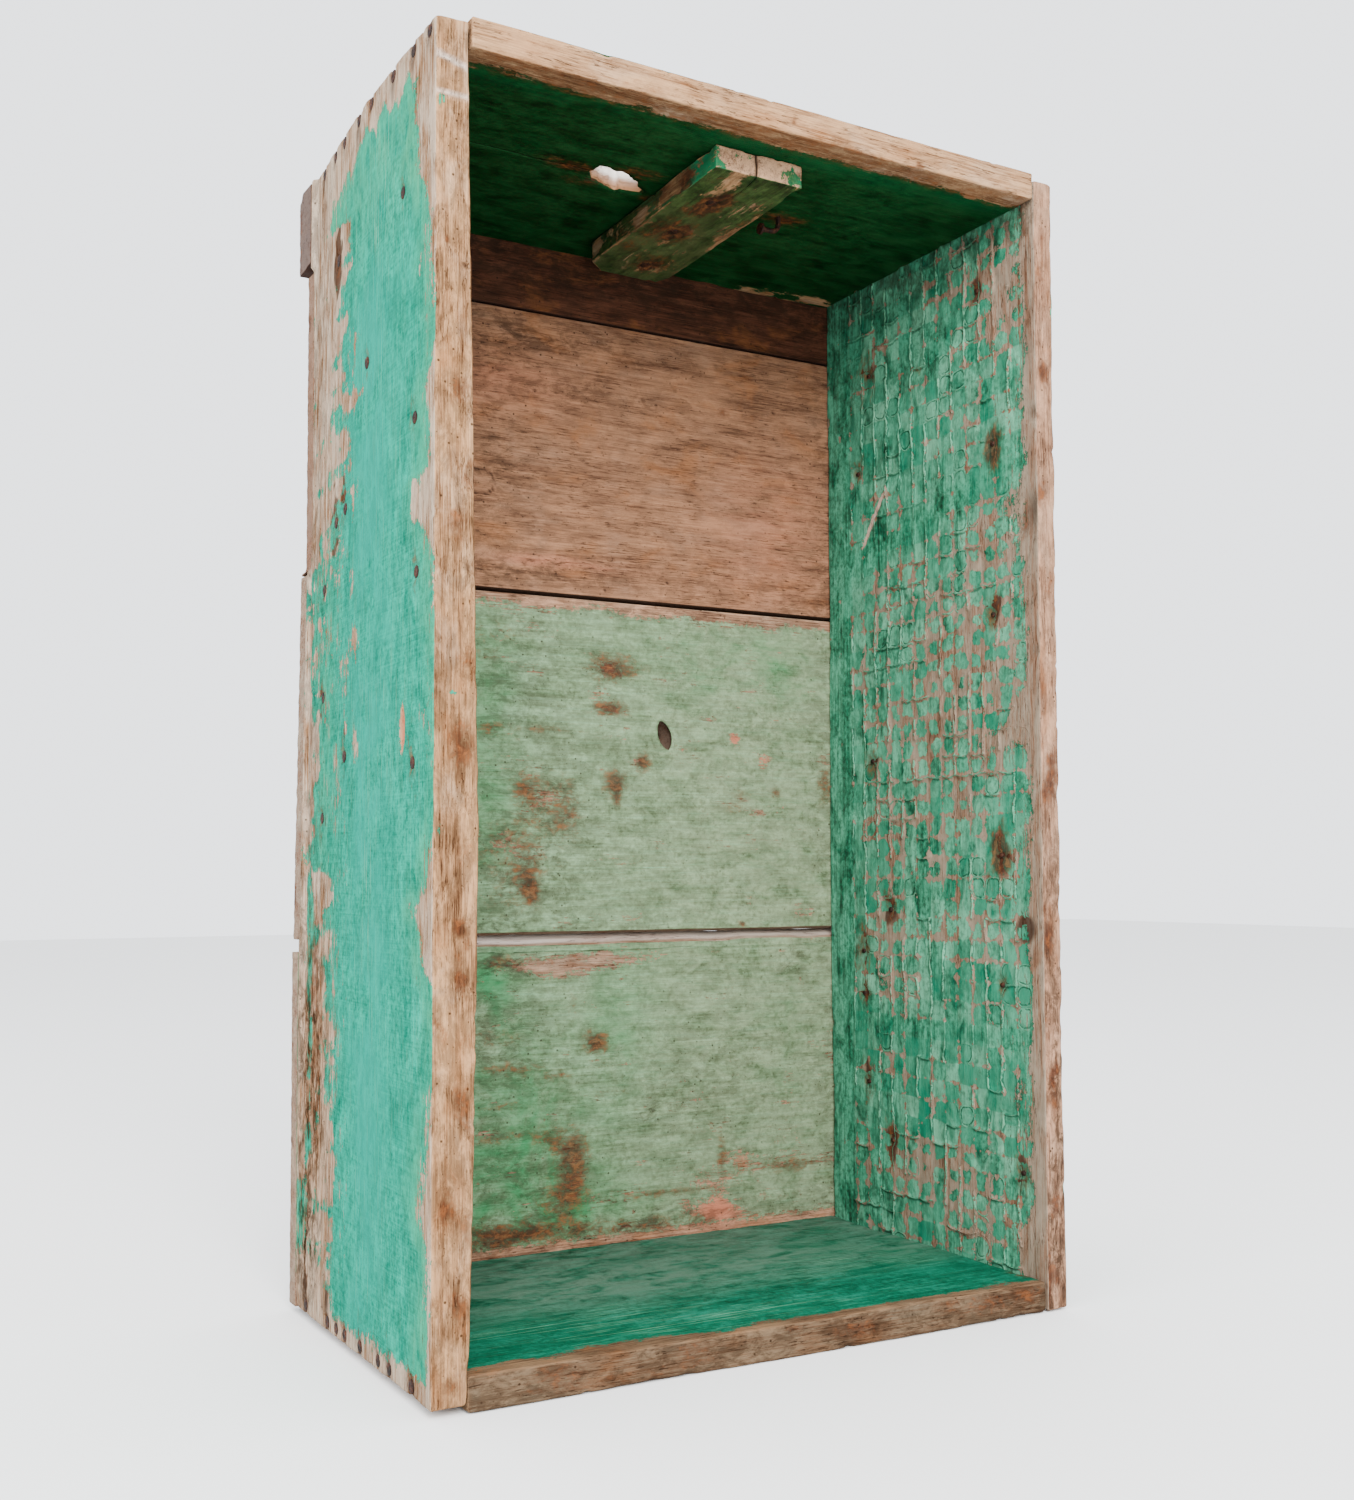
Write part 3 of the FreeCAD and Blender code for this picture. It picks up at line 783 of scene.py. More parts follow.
def left_side_board(material):
    """The tall left board: turquoise outside, with a bare, rusty front edge."""
    board = Board("left_side_board", "ZYX", 110, SIDE_PITCH, 1.8)
    x, y, z = board.xyz()
    look = board.layers
    outside, inner, edge = board.facing("-X"), board.facing("+X"), board.facing("-Y")
    wander = board.rough((24, 10, 20), 111, 4)
    tongues = board.rough((30, 34, 9), 116, 4)
    front = y - along(z, LEFT_PAINT_FRONT) + 4.0 * wander
    back = along(z, LEFT_PAINT_BACK) - y + 8.0 * wander + 12.0 * tongues
    top = 641 - 8 * ease(y, 60, 150) - z + 9 * board.noise((7, 7, 30), 112)
    foot = z - 15 + 3 * wander
    distance = np.minimum(np.minimum.reduce([front, back, top, foot]), 15)
    flecks = board.rough((14, 9, 16), 113, 4)
    worn_middle = ease(y, 88, 122) * ease(z, 250, 330) * fall(z, 520, 600)
    distance -= worn_middle * (16.0 * flecks + 8.0) * (flecks > -0.35)
    distance -= ease(y, 118, 175) * (9.0 * flecks + 1.5)
    left_over = 9.0 * tongues + 7.0 * flecks - 7.0 + 5.0 * fall(y, 150, 205)
    left_over = np.where((z > 25) & (z < 625) & (y > 120), left_over - 9 * ease(z, 560, 620), BARE)
    distance = np.maximum(distance, left_over)
    distance -= patches(y, z, [
        (42, 321, 4, 14, 34), (28, 428, 7, 14, 14), (20, 545, 4, 12, 12), (30, 240, 7, 14, 10),
        (12, 325, 9, 14, 14), (120, 600, 22, 14, 5), (140, 553, 14, 5, 12), (118, 505, 22, 4, 14),
        (100, 90, 60, 3, 6), (125, 175, 30, 3, 8),
    ])
    strip = patches(y, z, [
        (197, 215, 8, 40, 22), (192, 150, 6, 22, 16), (200, 60, 12, 25, 14), (190, 100, 9, 12, 13),
    ])
    distance = np.maximum(distance, np.where(strip > 2, strip - 9 + 8 * flecks, BARE))
    inner_coat = np.minimum(7 + 8 * board.rough((26, 16, 40), 118, 4), y - 12 + 3 * wander)
    dabs = patches(x, z, [(3, 619, 2.2, 5, 15), (9, 335, 3, 2, 11), (4, 270, 2, 8, 11)]) * edge
    painted = by_face((outside, distance), (inner, inner_coat))
    look["paint"] = np.maximum(painted, coat(dabs - 8))

    board.weather(0.14, 0.5)
    stain = board.nail_marks(7.5, 2.4)
    stain *= 1 - 0.6 * np.maximum(ease(z, 628, 640), fall(z, 14, 26))
    gouge = clamp(1 - ((y - 42) / 3.4) ** 2 - ((z - 321) / 13) ** 2) * outside
    board.sink(1.8 * gouge)
    saw = np.exp(-((z - 641 + 0.25 * x) / 1.3) ** 2) + 0.8 * bell(z, 622, 1.1)
    knock = patches(x, z, [
        (13.6, 609, 1.8, 3.5, 1), (15.6, 224, 4, 5, 0.7), (16, 540, 2, 1.5, 1), (17, 470, 3, 2, 0.8),
        (17, 395, 2, 4, 0.9),
    ])
    dents = board.dents((9, 9, 14), 114, 2.2, 0.35)
    board.sink((1.0 * saw + 1.7 * knock + dents) * edge)
    shake = np.abs(y - 200 - 4 * board.noise((60, 60, 14), 115))
    split = fall(shake, 0, 1.6) * ease(z, 128, 140) * fall(z, 164, 176) * outside
    board.sink(1.6 * split)
    bulge = along(z, LEFT_INNER_ARRIS) * (1 - ease(y, 0, 70)) * ease(x, 8, 18)
    board.points[:, 0] += bulge
    rust = patches(x, z, [
        (13, 480, 5, 9, 0.7), (15, 310, 6, 14, 0.9), (12, 415, 5, 9, 0.6), (17, 350, 5, 10, 0.6),
        (15.4, 144, 5, 10, 0.8), (13.7, 51, 5, 8, 0.8), (10, 16, 5, 6, 0.7), (7, 551, 2, 3, 0.8),
        (15.6, 224, 4, 6, 0.9), (8, 100, 6, 16, 0.45), (16, 260, 4, 9, 0.5), (14, 515, 5, 12, 0.35),
        (18, 440, 4, 8, 0.6), (5, 180, 4, 12, 0.4), (16, 85, 4, 10, 0.5), (16, 200, 4, 8, 0.5),
    ]) * edge
    smudges = ease(board.rough((9, 9, 18), 117, 3), 0.2, 0.9)
    rust += 0.5 * smudges * edge * fall(z, 150, 420)
    seeping = patches(y, z, [(182, 140, 24, 80, 0.35), (190, 210, 12, 30, 0.3), (200, 330, 6, 40, 0.3)])
    rust += seeping * outside
    look["rust"] = clamp(rust + 0.4 * stain * np.maximum(outside, edge))
    holes = patches(x, z, [(13.6, 609, 1.6, 3.5, 1), (16, 540, 2, 1.5, 1), (17, 395, 2, 3, 1)]) * edge
    dark = holes + split + 0.8 * inner * board.arris_near(3.0) + ease(stain, 0.1, 0.6)
    look["knot"] = clamp(dark)
    worn_arris_and_highlight = board.arris_near(2.5)
    # the arris term lightens worn arrises, and is also a painted highlight along them
    look["pale"] = clamp(gouge * 2 + edge * (0.2 + 0.5 * worn_arris_and_highlight + 0.7 * saw))
    look["bleached"] = 0.5 * edge * clamp(saw)
    look["salmon"] = clamp(1.4 * gouge)
    browner = 1 - 0.7 * patches(y, z, [(182, 140, 30, 90, 1.0)])
    look["grey"] = 0.85 * np.maximum(outside, board.facing("+Z")) * (1 - gouge) * browner
    look["thin"] = clamp(0.25 + 0.9 * ease(y, 100, 160) + 0.5 * fall(y, 5, 30))
    edges_faded = 0.8 * (1 - ease(front, 4, 30)) + 0.6 * ease(z, 540, 640) + 0.5 * ease(y, 130, 170)
    look["fade"] = clamp(edges_faded)
    look["tint"] = bell(y, 92, 34) * (0.4 + 0.6 * fall(z, 520, 590))
    scratched = patches(y, z, [(76, 610, 12, 60, 1.0), (92, 250, 12, 60, 0.5), (60, 330, 10, 30, 0.5)])
    look["scratch"] = clamp(0.25 + scratched)
    low_back = patches(y, z, [(182, 140, 30, 90, 0.8), (190, 40, 20, 30, 0.5)]) * outside
    look["dirt_and_shade"] = 0.25 + 0.35 * edge + 0.35 * ease(y, 150, 205) + low_back
    return board.finish(material, "turquoise_painted_board")


# ---- the right side board ------------------------------------------------------------------
WIRE_FIRST_Y = 23.6         # where the foremost and the lowest wire lay
WIRE_FIRST_Z = 7.2
RIDGE_FOOT = 0.9            # half the width of the raised line, in the mesh
RIDGE_HEIGHT = 1.15
CLEAR_OF_ENDS = 4.2         # no wire line is this near an arris
RIGHT_OUTER_WEAR = (        # how deep its outer front arris is worn, as (height, mm)
    (18, 0.0), (52, 0.5), (150, 1.6), (281, 2.6), (420, 1.9), (528, 1.2), (588, 0.3), (654, 1.8),
)


def wire_lines(origin, length, first, pitch):
    """Lattice lines with one on top of each wire line, one each side, and four between."""
    steps = np.concatenate([[0], np.linspace(RIDGE_FOOT, pitch - RIDGE_FOOT, 6)])
    count = int(length / pitch) + 2
    places = np.concatenate([first - origin + pitch * k + steps for k in range(-1, count)])
    ends = np.concatenate([END_STEPS, length - np.array(END_STEPS)])
    places = places[(places > CLEAR_OF_ENDS) & (places < length - CLEAR_OF_ENDS)]
    return np.unique(np.round(np.concatenate([ends, places]), 3))


def wire_stretches(wire_y, wire_z, crowd):
    """Which stretches of wire, between two crossings, left a raised line: those that stand,
    those that lie, and the meshes outlined all round.  crowd makes them more common."""
    lone = np.zeros(len(wire_y))

    def there(a, b, kind, reach, rare):
        """Which of the stretches numbered (a, b) left their line."""
        place = np.stack([a * 10.0 + kind * 977.0, b * 10.0, lone], 1)
        alone = noise(place, (7.3, 6.1, 1), 221 + kind)
        return 0.7 * alone + noise(place, reach, 223 + kind) > rare - crowd

    standing = there(np.round(wire_y), np.floor(wire_z), 0, (13, 41, 1), 0.05)
    lying = there(np.floor(wire_y), np.round(wire_z), 1, (29, 13, 1), 0.62)
    looped = there(np.floor(wire_y), np.floor(wire_z), 2, (17, 19, 1), 0.62)
    return standing, lying, looped


def right_side_board(material):
    """The tall right board: green inside with the print of wire mesh, and a battered edge."""
    lo, hi = box_of("right_side_board")
    lines = (
        wire_lines(lo[2], hi[2] - lo[2], WIRE_FIRST_Z, WIRE_PITCH_Z),
        wire_lines(lo[1], hi[1] - lo[1], WIRE_FIRST_Y, WIRE_PITCH_Y),
    )
    board = Board("right_side_board", "ZYX", 210, arris=1.8, lines=lines)
    x, y, z = board.xyz()
    look = board.layers
    inner, outside, edge = board.facing("-X"), board.facing("+X"), board.facing("-Y")
    wire_y = (y - WIRE_FIRST_Y) / WIRE_PITCH_Y
    wire_z = (z - WIRE_FIRST_Z) / WIRE_PITCH_Z

    front_strip = 12 + 3 * board.noise((20, 20, 30), 211)
    printed = ease(y, front_strip - 2, front_strip + 2) * fall(y, 182, 189) * inner
    band = bell(z, 499 - 0.21 * y, 15) + 0.8 * bell(z, 152, 8)
    printed *= clamp(1 - 0.9 * band)
    crowd = patches(y, z, [
        (120, 400, 60, 60, 0.55), (60, 560, 30, 50, 0.3), (140, 600, 30, 60, 0.25),
        (40, 300, 30, 60, 0.3), (150, 300, 30, 60, 0.25), (130, 180, 40, 30, 0.2),
        (40, 180, 25, 40, 0.35), (120, 22, 90, 14, 0.2),
    ])
    standing, lying, looped = (kind * printed for kind in wire_stretches(wire_y, wire_z, crowd))
    cell_tone = np.stack([np.floor(wire_y) * 10, np.floor(wire_z) * 10, 0 * y], 1)
    cell_tone = 0.5 + 0.5 * noise(cell_tone, (3.1, 3.3, 1), 218)
    near_y = np.abs(wire_y - np.round(wire_y)) * WIRE_PITCH_Y
    near_z = np.abs(wire_z - np.round(wire_z)) * WIRE_PITCH_Z
    raised = np.maximum(clamp(1 - near_y / RIDGE_FOOT) * standing,
                        clamp(1 - near_z / RIDGE_FOOT) * lying)
    bare_lines = printed * np.clip(0.34 + patches(y, z, [
        (95, 335, 80, 90, 0.45), (55, 400, 40, 50, 0.35), (90, 62, 85, 34, 0.5), (35, 592, 30, 50, 0.5),
        (150, 195, 24, 55, 0.45), (60, 190, 50, 40, 0.3), (150, 440, 30, 30, 0.25),
        (60, 470, 60, 28, 0.35), (70, 615, 50, 14, 0.2),
    ]), 0, 1.1)

    wander = board.rough((16, 10, 16), 212, 4)
    distance = np.minimum(y - front_strip, 12.0) + 4 * wander
    distance += patches(y, z, [
        (30, 605, 14, 22, -15), (40, 580, 12, 14, -12), (60, 620, 9, 8, -10), (38, 330, 22, 12, -16),
        (20, 342, 10, 12, -16), (110, 383, 35, 4, -12), (60, 296, 16, 7, -12), (14, 31, 9, 13, -40),
        (60, 33, 40, 5, -13), (90, 62, 40, 5, -9), (150, 395, 16, 5, -9), (28, 470, 9, 14, -13),
        (150, 180, 14, 8, -10), (100, 250, 26, 6, -10), (140, 120, 30, 6, -8), (28, 440, 9, 9, -12),
        (70, 455, 14, 8, -9), (52, 405, 12, 8, -10), (176, 470, 8, 8, -10), (185, 200, 6, 14, -8),
        (24, 120, 5, 30, -11), (110, 305, 20, 6, -8), (80, 350, 14, 7, -9),
    ])
    outer_wear = 3 + 9 * board.rough((40, 22, 70), 213, 4)
    painted = by_face((inner, distance), (outside, outer_wear))
    look.update(wire_y=wire_y + 0.5, wire_z=wire_z + 0.5, standing=standing, lying=lying,
                        looped=looped, bared=bare_lines)
    swerve = [1.5 * board.noise((15, 13, 8 + 3 * k), 227 + k) * printed for k in (0, 1)]
    sag = 1.1 * np.sin(math.pi * (wire_y - np.floor(wire_y))) * printed * (lying > 0.5)
    board.points[:, 1] += swerve[0]
    board.points[:, 2] += swerve[1] - sag

    board.weather(0.13, 0.45)
    stain = board.nail_marks(9.0)
    knot = clamp(1.6 - 1.6 * np.hypot((y - 16) / 10, (z - 217) / 11)) * inner
    board.sink(1.3 * knot * (0.6 + 0.5 * board.noise((3, 2.5, 9), 214)))
    height = RIDGE_HEIGHT * raised - 0.3 * bare_lines * (near_y < 2.2)
    height += 0.4 * printed * board.rough((6, 5, 5), 215, 3)
    board.sink(-height * (1 - clamp(stain * 3)))
    board.sink(along(z, RIGHT_OUTER_WEAR) * (1 - ease(y, 0, 45)) * outside)
    dents = board.dents((9, 9, 13), 216, 2.4)
    torn = patches(y, z, [(6, 462, 6, 16, 1.6), (4, 520, 5, 5, 1.2), (5, 380, 5, 5, 1.0)]) * inner
    board.sink(edge * (0.5 + dents + 0.5 * board.noise((30, 30, 24), 217)) + torn)

    aside = np.abs((y - 145) - (z - 506) * (172 - 145) / (467 - 506))
    splinter = fall(aside, 0.8, 3.0) * ease(z, 464, 474) * fall(z, 498, 508) * inner
    board.sink(0.8 * splinter)
    worn_arris_and_highlight = board.arris_near(2.5)
    look["paint"] = np.minimum(painted, coat(9 - 19 * splinter))
    rust = patches(x, z, [
        (381, 625, 4, 6, 0.5), (381, 600, 5, 10, 0.5), (380, 545, 4, 6, 0.8), (379, 470, 5, 12, 0.5),
        (380, 300, 5, 16, 0.6), (376, 350, 3, 12, 0.5), (378, 215, 6, 16, 0.7), (375, 160, 4, 12, 0.4),
        (380, 120, 5, 12, 0.5), (381, 60, 5, 8, 0.8), (378, 20, 6, 8, 0.8), (382, 420, 4, 10, 0.4),
    ]) * edge
    rust += patches(y, z, [
        (40, 505, 7, 13, 0.9), (36, 262, 8, 15, 0.9), (12, 455, 5, 12, 0.6), (110, 575, 6, 5, 0.4),
        (100, 560, 5, 5, 0.3),
    ]) * inner
    smudges = ease(board.rough((9, 9, 16), 219, 3), 0.2, 0.9)
    rust += smudges * edge * (0.3 + 0.7 * fall(z, 150, 420))
    look["rust"] = clamp(rust + 0.6 * stain * np.maximum(inner, outside))
    dark = knot * 1.3 + 0.5 * torn + 0.9 * ease(stain, 0.3, 0.9) * inner
    look["knot"] = clamp(dark)
    # the arris term lightens worn arrises, and is also a painted highlight along them
    look["pale"] = clamp(splinter + edge * (0.3 + 0.5 * worn_arris_and_highlight))
    look["bleached"] = 0.25 * splinter
    look["grey"] = 0.9 * inner + 0.7 * outside
    look["thin"] = 0.35 + 0.3 * fall(y, 20, 80) * inner + 0.3 * outside
    pale_cells = 0.75 * (1 - cell_tone) ** 1.5 * printed
    look["fade"] = 0.1 + pale_cells + 0.2 * ease(y, 185, 200) * inner + 0.15 * outside
    vivid = patches(y, z, [(30, 300, 30, 160, 0.8), (40, 480, 25, 60, 0.7), (60, 100, 60, 60, 0.4)])
    vivid = clamp(1.3 * cell_tone**2 * printed + vivid)
    look["tint"] = np.where(inner > 0.5, vivid, 0.7)
    look["scratch"] = np.full(len(x), 0.2)
    low_edge = edge * (0.2 + 0.6 * fall(z, 120, 360))
    # the darkening at the top of the inner face is painted shadow under the top board
    look["dirt_and_shade"] = 0.25 + low_edge + 0.6 * ease(z, 610, 645) * inner
    return board.finish(material, "green_painted_board")


# ---- the back boards -----------------------------------------------------------------------
EYE_X = 243.5               # the middle of the pointed hole
EYE_Z = 340.5
EYE_LENGTH = 20.0
EYE_WIDTH = 10.0
EYE_LEAN = 18.0             # degrees, its top to the left
LOWER_PAINT_LINE = 418.5    # the lower middle board's paint stops at this height


def eye_outline():
    """The pointed hole in the lower back board, as (X, Z) places."""
    turn = math.radians(EYE_LEAN)
    t = np.linspace(0, 2 * math.pi, 40, endpoint=False)
    tall = EYE_LENGTH / 2 * np.cos(t)
    wide = EYE_WIDTH / 2 * np.sin(t) * np.abs(np.sin(t)) ** 0.4
    x = EYE_X + wide * math.cos(turn) - tall * math.sin(turn)
    z = EYE_Z + tall * math.cos(turn) + wide * math.sin(turn)
    return np.stack([x, z], 1)


def back_board(name, seed, paint=None, rust=(), holes=(), salmon=(), knots=(), vivid=(),
               dirt_and_shade=(), pits=(), lip=0.0, underside_shade=0.9):
    """A board across the back.  paint(board, x, z) gives the paint on its inner face; rust,
    salmon, vivid and the dirt with its painted shade are patches in X and Z; knots are
    (x, z, radius), pits (x, z).  lip is how far the back of its lower edge hangs down, so that
    no light shows under it, and the last argument is how much painted shade darkens its underside."""
    board = Board("back_board_" + name, "XZY", seed, BOARD_PITCH, 0.8, holes=holes)
    x, y, z = board.xyz()
    look = board.layers
    inner = board.facing("-Y")
    edges = np.maximum(board.facing("+Z"), board.facing("-Z"))
    relief = 0.25 * board.rough((60, 9, 3.0), seed + 6) + board.dents((24, 9, 5), seed + 5, 0.9)
    look["paint"] = by_face((inner, paint(board, x, z) if paint else BARE))
    depth = clamp((y - board.lo[1]) / (board.hi[1] - board.lo[1]))
    hang = lip * ease(depth, 0.2, 0.5) * fall(z - board.lo[2], 1, 4)
    board.sink((0.35 + relief) * (1 - edges))
    stain = board.nail_marks(8.0)
    knot = np.zeros(len(x))
    for knot_x, knot_z, radius in knots:
        away = np.hypot(x - knot_x, (z - knot_z) * 1.15)
        ring = bell(away, radius, 0.9)
        knot = np.maximum(knot, np.maximum(0.8 * ring, 0.22 * (away < radius)))
        board.sink(0.7 * ring * inner)
    for pit_x, pit_z in pits:
        pit = np.exp(-((x - pit_x) / 1.6) ** 2 - ((z - pit_z) / 1.0) ** 2) * inner
        knot = np.maximum(knot, pit)
        board.sink(1.2 * pit)
    look["rust"] = clamp(patches(x, z, rust) * inner + 0.9 * stain * (1 - inner))
    look["salmon"] = look["pale"] = clamp(patches(x, z, salmon)) * inner
    look["grey"] = 0.75 * (1 - inner)
    # the underside of the lower edge is darkened with painted shade
    look["knot"] = np.maximum(knot, underside_shade * board.facing("-Z"))
    look["thin"] = np.full(len(x), 0.4)
    board.points[:, 2] -= hang
    look["tint"] = clamp(patches(x, z, vivid)) * inner
    look["fade"] = 0.1 + 0.4 * ease(x, 150, 330) * inner
    look["scratch"] = np.full(len(x), 0.15)
    # darker towards the left part and the right end of the inner face: grime, with painted shade in the
    # corners by the side boards
    corners = 0.1 * fall(x, 100, 190) + 0.25 * ease(x, 345, 375)
    look["dirt_and_shade"] = clamp(0.3 + inner * (corners + patches(x, z, dirt_and_shade)))
    return board


def bottom_back_board(material):
    """The lowest board across the back.  Its upper edge slopes, and its left end has split off."""
    def paint(board, x, z):
        wander = board.rough((20, 20, 11), 311, 5)
        distance = 8.5 + 5.5 * wander + patches(x, z, [
            (176, 194, 55, 7, -13), (50, 190, 30, 8, -5), (178, 66, 12, 18, -8), (282, 30, 20, 10, -16),
            (60, 28, 60, 5, -6), (250, 48, 50, 5, -4), (60, 90, 60, 3, -5), (90, 62, 60, 5, -3),
            (300, 60, 40, 9, -5), (235, 95, 30, 10, -3), (210, 150, 60, 14, 4), (280, 150, 50, 30, 5),
            (60, 60, 50, 30, 4),
        ])
        return np.minimum(distance, 1.5 * (z - 22))

    board = back_board(
        "bottom", 310, paint,
        rust=[
            (193, 144, 9, 8, 1.0), (177, 74, 12, 17, 0.95), (170, 50, 16, 12, 0.7),
            (160, 86, 10, 8, 0.6), (134, 130, 20, 5, 0.6), (166, 124, 12, 4, 0.5),
            (200, 112, 26, 2, 0.4), (286, 64, 4, 16, 0.6), (340, 54, 32, 5, 0.6), (240, 45, 50, 3, 0.5),
            (150, 30, 46, 8, 0.6), (230, 26, 60, 5, 0.5), (130, 108, 18, 3, 0.5),
            (176, 168, 5, 12, 0.3), (150, 197, 50, 8, 0.4), (120, 150, 24, 6, 0.4),
            (125, 90, 20, 5, 0.5), (120, 30, 26, 12, 0.4),
        ],
        salmon=[(282, 30, 20, 11, 1.1), (255, 194, 20, 9, 0.4), (340, 110, 24, 30, 0.2)],
        vivid=[
            (125, 62, 60, 36, 1.2), (118, 180, 20, 30, 0.9), (130, 120, 50, 36, 0.6),
            (330, 130, 20, 40, 0.3), (210, 150, 24, 50, 0.4), (180, 40, 40, 12, 0.6),
        ],
        dirt_and_shade=[
            (130, 150, 30, 50, 0.35), (150, 60, 50, 30, 0.35), (200, 28, 120, 10, 0.6),
            (343, 191, 14, 9, 0.6), (233, 97, 9, 6, 0.6), (130, 195, 22, 8, 0.6),
            (260, 120, 60, 40, 0.2),
        ],
        pits=[(245, 144), (62, 180), (236, 120), (300, 130)])
    x, y, z = board.xyz()
    look = board.layers
    lo, hi = board.lo, board.hi
    whole = ease(x, 26, 40)
    near_top = ease(z, hi[2] - 12.0, hi[2] - 3.0)
    depth = clamp((y - lo[1]) / (hi[1] - lo[1]))
    drop = SLOPING_EDGE_DROP * (1 - 0.2 * ease(x, 200, 360)) * (1 - whole * depth)
    drop = drop + 1.2 * board.noise((24, 60, 60), 318)
    board.points[:, 2] -= near_top * np.clip(drop, 0, 9)
    slope = near_top * whole * ease(depth, 0.12, 0.3)
    for layer in ("paint", "pale", "knot"):
        look[layer] = look[layer] * (1 - slope)
    worn_grey = np.maximum(0.9 * slope, patches(x, z, [(176, 194, 60, 9, 0.5)]))
    look["grey"] = np.maximum(look["grey"], worn_grey)
    look["bleached"] = slope * (0.2 + 0.3 * fall(x, 110, 210))
    look["dirt_and_shade"] *= 1 - 0.7 * slope
    return board.finish(material, "pale_green_painted_board")


def lower_back_board(material):
    """The board with the pointed hole, still painted up to a line below its upper edge."""
    def paint(board, x, z):
        wander = board.rough((22, 20, 12), 321, 5)
        distance = 9.5 + 5.5 * wander + patches(x, z, [
            (199, 356, 14, 5, -7), (222, 321, 9, 7, -9), (298, 341, 8, 9, -12), (320, 325, 6, 6, -11),
            (70, 300, 40, 40, -3), (50, 250, 30, 20, -4), (204, 382, 16, 6, -6), (150, 290, 20, 20, -4),
            (130, 268, 20, 10, -4), (200, 222, 30, 4, -4), (350, 225, 20, 5, -5),
        ])
        below_line = LOWER_PAINT_LINE - z + 2.5 * board.rough((14, 20, 14), 322)
        return np.minimum(distance, 1.6 * below_line)

    board = back_board(
        "lower", 320, paint,
        rust=[
            (206, 382, 19, 9, 0.9), (203, 356, 14, 5, 1.0), (227, 322, 6, 6, 1.0),
            (207, 309, 9, 9, 0.9), (150, 285, 28, 34, 0.26), (125, 250, 20, 30, 0.28),
            (120, 400, 30, 10, 0.3), (208, 298, 3, 10, 0.6), (144, 303, 8, 9, 0.6),
            (172, 290, 10, 20, 0.5), (145, 250, 10, 18, 0.55), (303, 217, 3, 2, 1.0),
            (330, 305, 5, 4, 0.7), (300, 298, 14, 14, 0.35), (371, 312, 8, 16, 0.6),
            (120, 340, 10, 5, 0.5), (120, 386, 10, 4, 0.5), (160, 341, 30, 3, 0.35),
            (148, 238, 5, 8, 0.6),
        ],
        holes=[eye_outline()],
        salmon=[(298, 341, 8, 9, 1.0), (320, 325, 6, 6, 0.9), (80, 310, 40, 30, 0.4)],
        vivid=[
            (280, 390, 60, 24, 0.4), (60, 380, 60, 26, 0.3), (115, 320, 26, 80, 0.5),
            (330, 380, 24, 30, 0.3),
        ],
        dirt_and_shade=[
            (140, 262, 36, 40, 0.45), (172, 300, 20, 24, 0.35), (130, 370, 40, 50, 0.3),
            (120, 218, 90, 5, 0.4), (220, 420, 60, 4, 0.5), (200, 380, 20, 16, 0.3),
        ],
        # the board with the hole gets only a little painted shade under it
        pits=[(160, 312), (270, 300), (120, 246)], lip=1.6, underside_shade=0.15)
    x, y, z = board.xyz()
    look = board.layers
    away = np.hypot(x - EYE_X, z - EYE_Z)
    facing_out = np.maximum(board.facing("-Y", 0.2), board.facing("+Y", 0.2))
    # the walls of the pointed hole are darkened as painted shade inside it
    wall = (away < EYE_LENGTH) * (1 - facing_out)
    look["knot"] = np.maximum(look["knot"], wall)
    closing = 0.85 * ease(y, board.lo[1] + 3, board.lo[1] + 9) * (1 - ease(away, 8, 22))
    board.points[:, 0] += (EYE_X - x) * closing
    board.points[:, 2] += (EYE_Z - z) * closing
    scratch = np.abs(z - 252 - 0.18 * (x - 225)) + 20 * (1 - ease(x, 196, 202) * fall(x, 246, 252))
    look["scratch"] = np.maximum(look["scratch"], fall(scratch, 0, 1.6))
    return board.finish(material, "pale_green_painted_board")


def upper_back_board(material):
    """The unpainted board with a knot."""
    board = back_board(
        "upper", 330,
        rust=[(289, 560, 6, 4, 0.55), (60, 572, 20, 6, 0.3), (262, 440, 10, 14, 0.2)],
        salmon=[(170, 447, 40, 4, 0.7), (330, 480, 50, 50, 0.3), (120, 560, 50, 20, 0.3)],
        knots=[(113, 493, 9.5)],
        dirt_and_shade=[
            (120, 590, 110, 10, 0.5), (150, 440, 100, 8, 0.4), (180, 560, 40, 8, 0.4),
            (120, 520, 30, 60, 0.3), (330, 440, 60, 20, 0.2),
        ],
        pits=[(228, 560), (252, 570), (246, 441), (200, 432), (150, 555), (330, 566)], lip=1.8)
    return board.finish(material, "bare_board")


def top_back_board(material):
    """The thick dark board at the top, with a chipped upper corner behind.  Part of its darkness is
    painted shadow from the top board: its darker brown, and the dark patch laid over its face.
    """
    # the dark patch across its face is painted shadow under the top board
    board = back_board("top", 340, dirt_and_shade=[(200, 640, 400, 22, 0.7)], lip=1.2)
    x, y, z = board.xyz()
    look = board.layers
    lo, hi = board.lo, board.hi
    corner = ease(y, hi[1] - 6, hi[1]) * ease(z, hi[2] - 6, hi[2])
    board.points[:, 1] -= 3.2 * corner
    board.points[:, 2] -= 3.2 * corner
    board.points[:, 2] += 3.5 * (1 - ease(x, 0, 50)) * fall(z, lo[2], lo[2] + 30)
    look["bleached"] = 0.07 * board.facing("-X")
    look["dirt_and_shade"] *= 1 - 0.7 * board.facing("-X")
    return board.finish(material, "bare_board")


